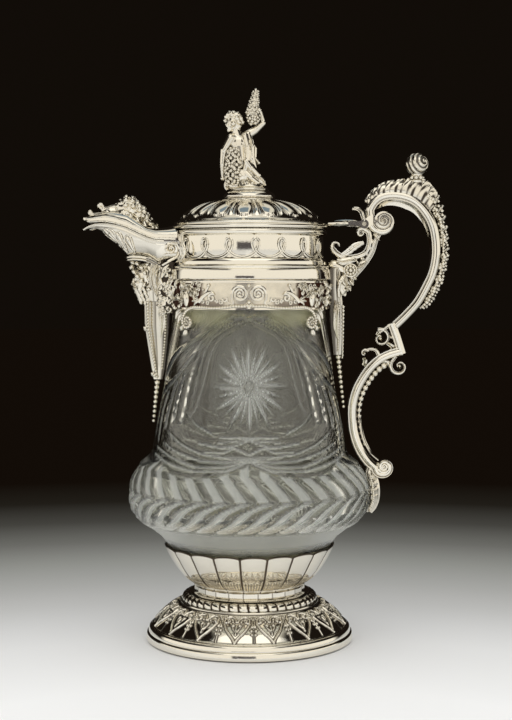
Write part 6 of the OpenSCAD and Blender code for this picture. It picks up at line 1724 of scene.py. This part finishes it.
# ------------------------------------------------------------------ finial
def build_figure(sizes):
    """Half-length child that rises from a clump of vine: head turned aside, one arm down by the
    grapes and one raised to a horn of fruit."""
    body = Shells()
    calm_head(body, (-9.4, -0.4, 293.6), 11.4, 34, 2)
    limb(body, (-8.2, 0, 297), (-6.4, 0, 290.6), 2.6, 3.2)
    limb(body, (-10.6, -1.6, 290.2), (-1.6, 1.8, 291.0), 2.9, 2.9)
    egg(body, (-6.2, 0, 286.6), (5.6, 4.6, 6.4))
    limb(body, (-6.0, 0, 286), (-4.6, 0, 275), 4.9, 4.6)
    egg(body, (-4.0, 0, 268.6), (7.6, 6.2, 6.4))
    rng = np.random.default_rng(11)
    centre = np.array([-9.6, 0, 300.0])
    for k in range(30):
        a, b = k * GOLDEN, math.acos(1 - 1.55 * (k + 0.5) / 30)
        d = np.array([math.sin(b) * math.cos(a), math.sin(b) * math.sin(a), math.cos(b)])
        turned_d = np.array([d[0] * 0.9 + d[2] * 0.42, d[1], d[2] * 0.9 - d[0] * 0.30])
        spot = centre + turned_d * np.array([5.2, 4.9, 5.2]) + rng.uniform(-0.4, 0.4, 3)
        if turned_d[2] < 0.45 and turned_d @ np.array([-0.83, -0.56, 0]) > 0.45:
            continue
        egg(body, spot, (rng.uniform(1.6, 2.2), 1.5, rng.uniform(1.2, 1.6)), rng.uniform(-70, 70), 12, 8)
    for y in (-3.2, 0.4, 3.6):
        limb(body, (-9.6, y, 262.9), (3.6, y, 262.9), 2.5, 2.3)
    # lowered arm and hand
    limb(body, (-10.8, -2.8, 290.4), (-14.8, -3.4, 283.0), 2.5, 2.0)
    limb(body, (-14.8, -3.4, 283.0), (-15.6, -3.4, 275.0), 1.9, 1.4)
    limb(body, (-15.6, -3.4, 275.0), (-15.4, -3.4, 268.4), 1.35, 0.9)
    egg(body, (-15.4, -3.4, 267.2), (1.3, 1.1, 1.3))
    # raised arm, bent back over the horn
    limb(body, (-2.2, 1.6, 292.0), (3.6, 1.6, 295.4), 2.7, 2.2)
    limb(body, (3.6, 1.6, 295.4), (8.0, 1.2, 299.2), 2.2, 1.6)
    limb(body, (8.0, 1.2, 299.2), (6.4, 0.6, 305.6), 1.5, 1.0)
    egg(body, (5.6, 0.2, 306.6), (1.6, 1.5, 1.4))
    # drapery that falls from the shoulder and swings out over the hip
    for path, r in ((((-2.4, -3.4, 292), (-0.6, -4.6, 285), (-1.0, -4.8, 278), (-2.6, -4.6, 272)), 1.5),
            (((-0.6, -2.4, 293), (1.6, -3.4, 286), (1.8, -3.6, 279), (3.4, -3.2, 272)), 1.35),
            (((0.6, 1.6, 291), (3.4, 1.2, 285), (3.2, 0.8, 279), (5.4, 0.6, 276.4)), 1.1),
            (((-2.4, 3.6, 291), (0.6, 4.4, 284), (-0.2, 4.6, 276), (0.6, 4.4, 268)), 1.5),
            (((-1.6, -4.6, 277), (1.6, -4.8, 272.6), (5.2, -3.8, 268.8)), 1.9),
            (((-2.6, -4.2, 271), (1.0, -5.4, 267.4), (4.6, -4.4, 264.6)), 1.7),
            (((-9.4, 3.2, 290), (-8.8, 4.6, 282), (-9.8, 4.4, 274), (-9.0, 4.8, 266)), 1.6),
            (((-5.6, 4.4, 289), (-4.8, 5.4, 281), (-5.6, 5.2, 273), (-4.6, 5.6, 265)), 1.5),
            (((1.6, 4.2, 276), (4.0, 3.6, 271), (5.2, 2.8, 266)), 1.7)):
        for a, b in zip(path[:-1], path[1:]):
            limb(body, a, b, r, r * 0.92)
    piece = make_piece("finial_child", body, "figure", "lid")
    fuse(piece, 0.34, 2)

    vine = Shells()
    k = np.arange(96)
    a, h = k * GOLDEN, np.linspace(284.4, 264.0, 96)
    fat = np.interp(h, [264, 268, 276, 283, 285], [3.6, 5.0, 4.6, 3.4, 1.6])
    spots = xyz(-9.0 + fat * np.cos(a), -2.6 - fat * np.abs(np.sin(a)) * 0.95, h)
    balls(vine, spots, 1.02 + 0.12 * np.sin(k * 3.1), 10, 7)
    limb(vine, (-8.8, -2.4, 282.4), (-8.8, -2.4, 266.4), 3.0, 3.6)
    for path, width, out in ((((-12.6, -1.6, 266.4), (-13.4, -1.4, 263.2), (-12.6, -1.2, 260.8)),
                (1.4, 3.0, 1.0), (-1, -0.4, 0.2)), (((3.0, -4.0, 268.6), (7.0, -3.6, 266.2),
                    (9.2, -3.0, 263.2)), (1.4, 2.8, 0.6), (0.2, -1, 0.5)),
            (((2.0, -5.0, 265.0), (3.8, -5.6, 262.4), (4.6, -5.2, 260.6)), (1.6, 3.0, 0.8), (0.2, -1, 0.2)),
            (((-3.6, -5.6, 265.6), (-3.0, -6.4, 262.8), (-3.4, -6.0, 260.6)), (1.6, 3.2, 1.0),
                (0, -1, 0.2)), (((2.6, 4.6, 266.4), (4.6, 5.2, 263.4), (5.0, 4.8, 260.8)), (1.6, 3.0, 0.8),
                (0.3, 1, 0.2)), (((-9.6, 5.0, 266.4), (-10.6, 5.6, 263.4), (-10.0, 5.2, 260.8)),
                (1.6, 3.0, 0.8), (-0.2, 1, 0.2)), (((0.4, -2.6, 291.0), (1.0, -4.6, 287.0),
                    (0.6, -5.4, 283.2)), (0.8, 2.0, 0.4), (0, -1, 0.1))):
        leaf(vine, path, width, out, 0.8, 5, 0.15, 3, (18, 13))
    disc = smooth([(10.4, 260.0), (10.9, 260.6), (10.6, 261.5), (9.0, 262.4), (8.6, 263.4)], 12).tolist()
    turned(vine, disc + [(3.0, 263.6), (3.0, 260.1)], 96)
    make_piece("finial_grapes", vine, "figure_grapes", "lid")

    horn = Shells()
    way = smooth([(1.6, 0.4, 303.6), (1.9, 0.4, 306.6), (2.6, 0.3, 310.4), (3.3, 0.2, 314.4),
            (3.7, 0.1, 317.4), (3.9, 0.0, 319.0)], 40)
    s = np.linspace(0, 1, 40)
    radius = np.interp(s, [0, 0.1, 0.5, 0.88, 0.95, 1.0], [3.0, 3.4, 2.5, 1.6, 1.25, 0.5])
    lon = 2 * np.pi * np.arange(28)[None, :] / 28
    twist = 0.1 * np.cos(11 * np.pi * s[:, None] + lon)
    wide = radius[:, None] + twist * radius[:, None] / 2.6
    section = np.stack([wide * np.cos(lon), wide * np.sin(lon)], -1)
    sweep(horn, way, section, (0, 1, 0), False, np.clip(-twist * 4, 0, 0.9))
    k = np.arange(34)
    a = k * GOLDEN
    h = np.linspace(306.4, 298.6, 34)
    spread = np.interp(h, [298.6, 301, 304, 306.4], [1.8, 3.2, 3.6, 2.6])
    spots = xyz(2.4 + spread * np.cos(a), 0.2 + spread * 0.9 * np.sin(a), h)
    balls(horn, spots, 0.95 + 0.15 * np.sin(k * 2.3), 10, 7)
    k = np.arange(70)
    t = np.linspace(0.06, 0.9, 70)
    wide = np.interp(t, s, radius)
    at = along(way, t) + xyz(wide * np.cos(k * GOLDEN), wide * np.sin(k * GOLDEN), 0 * wide)
    balls(horn, at, np.interp(t, (0, 1), (0.85, 0.5)) * (1 + 0.2 * np.sin(k * 1.7)), 10, 7)
    egg(horn, (2.4, 0.2, 302.4), (2.9, 2.7, 4.2))
    make_piece("finial_horn", horn, "figure_horn", "lid")


# ------------------------------------------------------------------ what carries over from the construction
def build_seat_leaf(sizes):
    """Leaf that seats the handle's end on the belly, and the small leaf between the two."""
    pad = Shells()
    z = np.array([100.6, 97.8, 94.4, 90.4, 86.2, 81.4, 77.4, 74.2])
    r = np.interp(z, [74, 77, 82, 87.2, 93, 97, 100.6], [66.9, 69.0, 70.5, 70.5, 69.6, 68.1, 69.1])
    way = xyz(r + 2.6, 0 * z, z)
    width = (3.0, 5.0, 6.4, 7.6, 7.8, 6.6, 4.4, 1.0)
    leaf(pad, way, width, (1, 0, 0), 1.9, 7, 0.30, 6, (56, 31))
    leaf(pad, xyz(r + 1.0, 0 * z, z), (2.4, 4.4, 5.8, 7.0, 7.2, 6.0, 3.8, 0.8), (1, 0, 0), 1.2, 1, 0.26, 0,
        (30, 15))
    rod(pad, [(69.6, 0, 97.8), (72.6, 0, 99.2), (76.0, 0, 101.0)], [2.4, 2.8, 2.4], 14, (0, 1, 0))
    for side in (-1, 1):
        at = mix(99.0, 75.6, np.linspace(0.1, 0.95, 17))
        balls(pad, xyz(read_off(z, r, at) + 1.2, side * read_off(z, width, at) * 0.97, at), 0.8, 8, 6)
    make_piece("seat_leaf", pad, "leaf_pad")


def dress_nodes():
    """Gives each construction node that stays in sight or inside its real material."""
    look = {"cup_bed": "plaster", "neck_bed": "plaster", "hinge_lug": "polished", "hinge_pin": "nickel",
        "lid_bezel": "polished", "lid_strap": "polished", "figure_stud": "nickel", "figure_nut": "nickel"}
    for name, kind in look.items():
        node = bpy.data.objects[name]
        node.data.materials.clear()
        node.data.materials.append(finish(kind))


# ------------------------------------------------------------------ sizes, operators and panel
class JugSizes(PropertyGroup):
    """Sizes of the jug's ornament that a maker would change."""
    reed_count: IntProperty(name="Reeds", description="Reeds in the ring over the foot", default=44, min=20,
        max=80)
    heart_count: IntProperty(name="Hearts", description="Heart leaves round the foot", default=16, min=8,
        max=24)
    heart_relief: FloatProperty(name="Heart relief", description="Height of the leaf work on the foot",
        default=0.0011, subtype="DISTANCE", unit="LENGTH")
    knop_facets: IntProperty(name="Knop facets", description="Flats round the stem's knop", default=24,
        min=8, max=36)
    lobe_count: IntProperty(name="Cup lobes", description="Pillow lobes round the cup", default=20, min=8,
        max=36)
    flute_count: IntProperty(name="Belly flutes", description="Slanting flutes cut round the glass",
        default=36, min=12, max=60)
    star_petals: IntProperty(name="Star cuts", description="Cuts in the engraved star", default=24, min=8,
        max=40)
    loop_count: IntProperty(name="Guilloche loops", description="Loops round the tall band of the collar",
        default=18, min=8, max=24)
    tongue_count: IntProperty(name="Dome tongues", description="Broad tongues round the lid's dome",
        default=16, min=8, max=24)
    handle_width: FloatProperty(name="Handle width", description="Width of the handle's band",
        default=0.009, subtype="DISTANCE", unit="LENGTH")


def colour_property(name, description, hex_colour):
    """A colour that shows in the panel."""
    return FloatVectorProperty(name=name, description=description, subtype="COLOR", size=4, min=0, max=1,
        default=linear(hex_colour))


class JugFinish(PropertyGroup):
    """Colours of the jug's finishes."""
    # the shades colour the oxide in the hollows, and also the painted shade in corners, where parts meet
    # and along some edges
    polished_tone: colour_property("Polished silver", "Colour of the polished silver", "#F2EDE0")
    polished_shade: colour_property("Polished hollows", "Colour in the hollows of polished silver",
        "#4A3B2C")
    chased_tone: colour_property("Chased silver", "Colour of the cast and chased silver", "#F0EADB")
    chased_shade: colour_property("Oxide", "Colour of the dark oxide in chased hollows", "#2B1D12")
    matted_tone: colour_property("Matted silver", "Colour of the matted ground", "#EAE2D0")
    matted_shade: colour_property("Matted oxide", "Colour of the oxide on the matted ground", "#482B1F")


class JugStage(PropertyGroup):
    """Camera of the product view."""
    distance: FloatProperty(name="Distance", description="Camera distance in front of the jug",
        default=0.84, subtype="DISTANCE", unit="LENGTH")
    height: FloatProperty(name="Height", description="Camera height over the table", default=0.206,
        subtype="DISTANCE", unit="LENGTH")
    pitch: FloatProperty(name="Pitch", description="Degrees that the camera looks down", default=2.965)
    focal_length: FloatProperty(name="Focal length",
        description="Focal length in millimetres on a 36 mm sensor", default=72.4)


def run(context, *makers):
    """Calls an operator's makers with the jug's sizes."""
    for make in makers:
        make(context.scene.jug_sizes)
    return {"FINISHED"}


class JUG_OT_stage(Operator):
    """Camera, floor, world and lamps"""
    bl_idname = "jug.stage"
    bl_label = "Stage"

    def execute(self, context):
        make_studio(context.scene.jug_stage)
        return {"FINISHED"}


class JUG_OT_foot(Operator):
    """Foot with its heart band, reeded ring and knop"""
    bl_idname = "jug.foot"
    bl_label = "Foot and knop"

    def execute(self, context):
        return run(context, build_foot)


class JUG_OT_cup(Operator):
    """Lobed cup"""
    bl_idname = "jug.cup"
    bl_label = "Cup"

    def execute(self, context):
        return run(context, build_cup)


class JUG_OT_glass(Operator):
    """Cut-glass body"""
    bl_idname = "jug.glass"
    bl_label = "Glass"

    def execute(self, context):
        return run(context, build_glass)


class JUG_OT_collar(Operator):
    """Collar with its guilloche and the applied work on its apron"""
    bl_idname = "jug.collar"
    bl_label = "Collar"

    def execute(self, context):
        return run(context, build_collar, build_skirt)


class JUG_OT_spout(Operator):
    """Spout with its mask and pendant"""
    bl_idname = "jug.spout"
    bl_label = "Spout"

    def execute(self, context):
        return run(context, build_spout, build_spout_mask, build_spout_pendant)


class JUG_OT_lid(Operator):
    """Lid with its spout cover"""
    bl_idname = "jug.lid"
    bl_label = "Lid"

    def execute(self, context):
        return run(context, build_lid, build_cover)


class JUG_OT_handle(Operator):
    """Handle with its crest, ball, bead string and seat leaf"""
    bl_idname = "jug.handle"
    bl_label = "Handle"

    def execute(self, context):
        return run(context, build_handle, build_crest, build_seat_leaf)


class JUG_OT_bracket(Operator):
    """Bracket scroll, foliage, mask and hinge leaves"""
    bl_idname = "jug.bracket"
    bl_label = "Bracket and hinge"

    def execute(self, context):
        return run(context, build_bracket, build_hinge)


class JUG_OT_figure(Operator):
    """Finial figure with its grapes and horn"""
    bl_idname = "jug.figure"
    bl_label = "Figure"

    def execute(self, context):
        return run(context, build_figure)


class JUG_OT_nodes(Operator):
    """Materials for the construction nodes that stay"""
    bl_idname = "jug.nodes"
    bl_label = "Construction nodes"

    def execute(self, context):
        dress_nodes()
        return {"FINISHED"}


OPERATORS = (JUG_OT_stage, JUG_OT_foot, JUG_OT_cup, JUG_OT_glass, JUG_OT_collar, JUG_OT_spout, JUG_OT_lid,
    JUG_OT_handle, JUG_OT_bracket, JUG_OT_figure, JUG_OT_nodes)


class JUG_PT_panel(Panel):
    """Lists the jug's sizes, colours and builders"""
    bl_idname = "JUG_PT_panel"
    bl_label = "Claret jug"
    bl_space_type = "VIEW_3D"
    bl_region_type = "UI"
    bl_category = "Jug"

    def draw(self, context):
        column = self.layout.column(align=True)
        for group in (context.scene.jug_sizes, context.scene.jug_finish, context.scene.jug_stage):
            for key in group.__annotations__:
                column.prop(group, key)
        for operator in OPERATORS:
            column.operator(operator.bl_idname)


CLASSES = (JugSizes, JugFinish, JugStage) + OPERATORS + (JUG_PT_panel,)


def register():
    for cls in CLASSES:
        bpy.utils.register_class(cls)
    bpy.types.Scene.jug_sizes = PointerProperty(type=JugSizes)
    bpy.types.Scene.jug_finish = PointerProperty(type=JugFinish)
    bpy.types.Scene.jug_stage = PointerProperty(type=JugStage)


def unregister():
    del bpy.types.Scene.jug_sizes, bpy.types.Scene.jug_finish, bpy.types.Scene.jug_stage
    for cls in reversed(CLASSES):
        bpy.utils.unregister_class(cls)


def main():
    register()
    for operator in OPERATORS:
        group, name = operator.bl_idname.split(".")
        getattr(getattr(bpy.ops, group), name)()


if __name__ == "__main__":
    main()
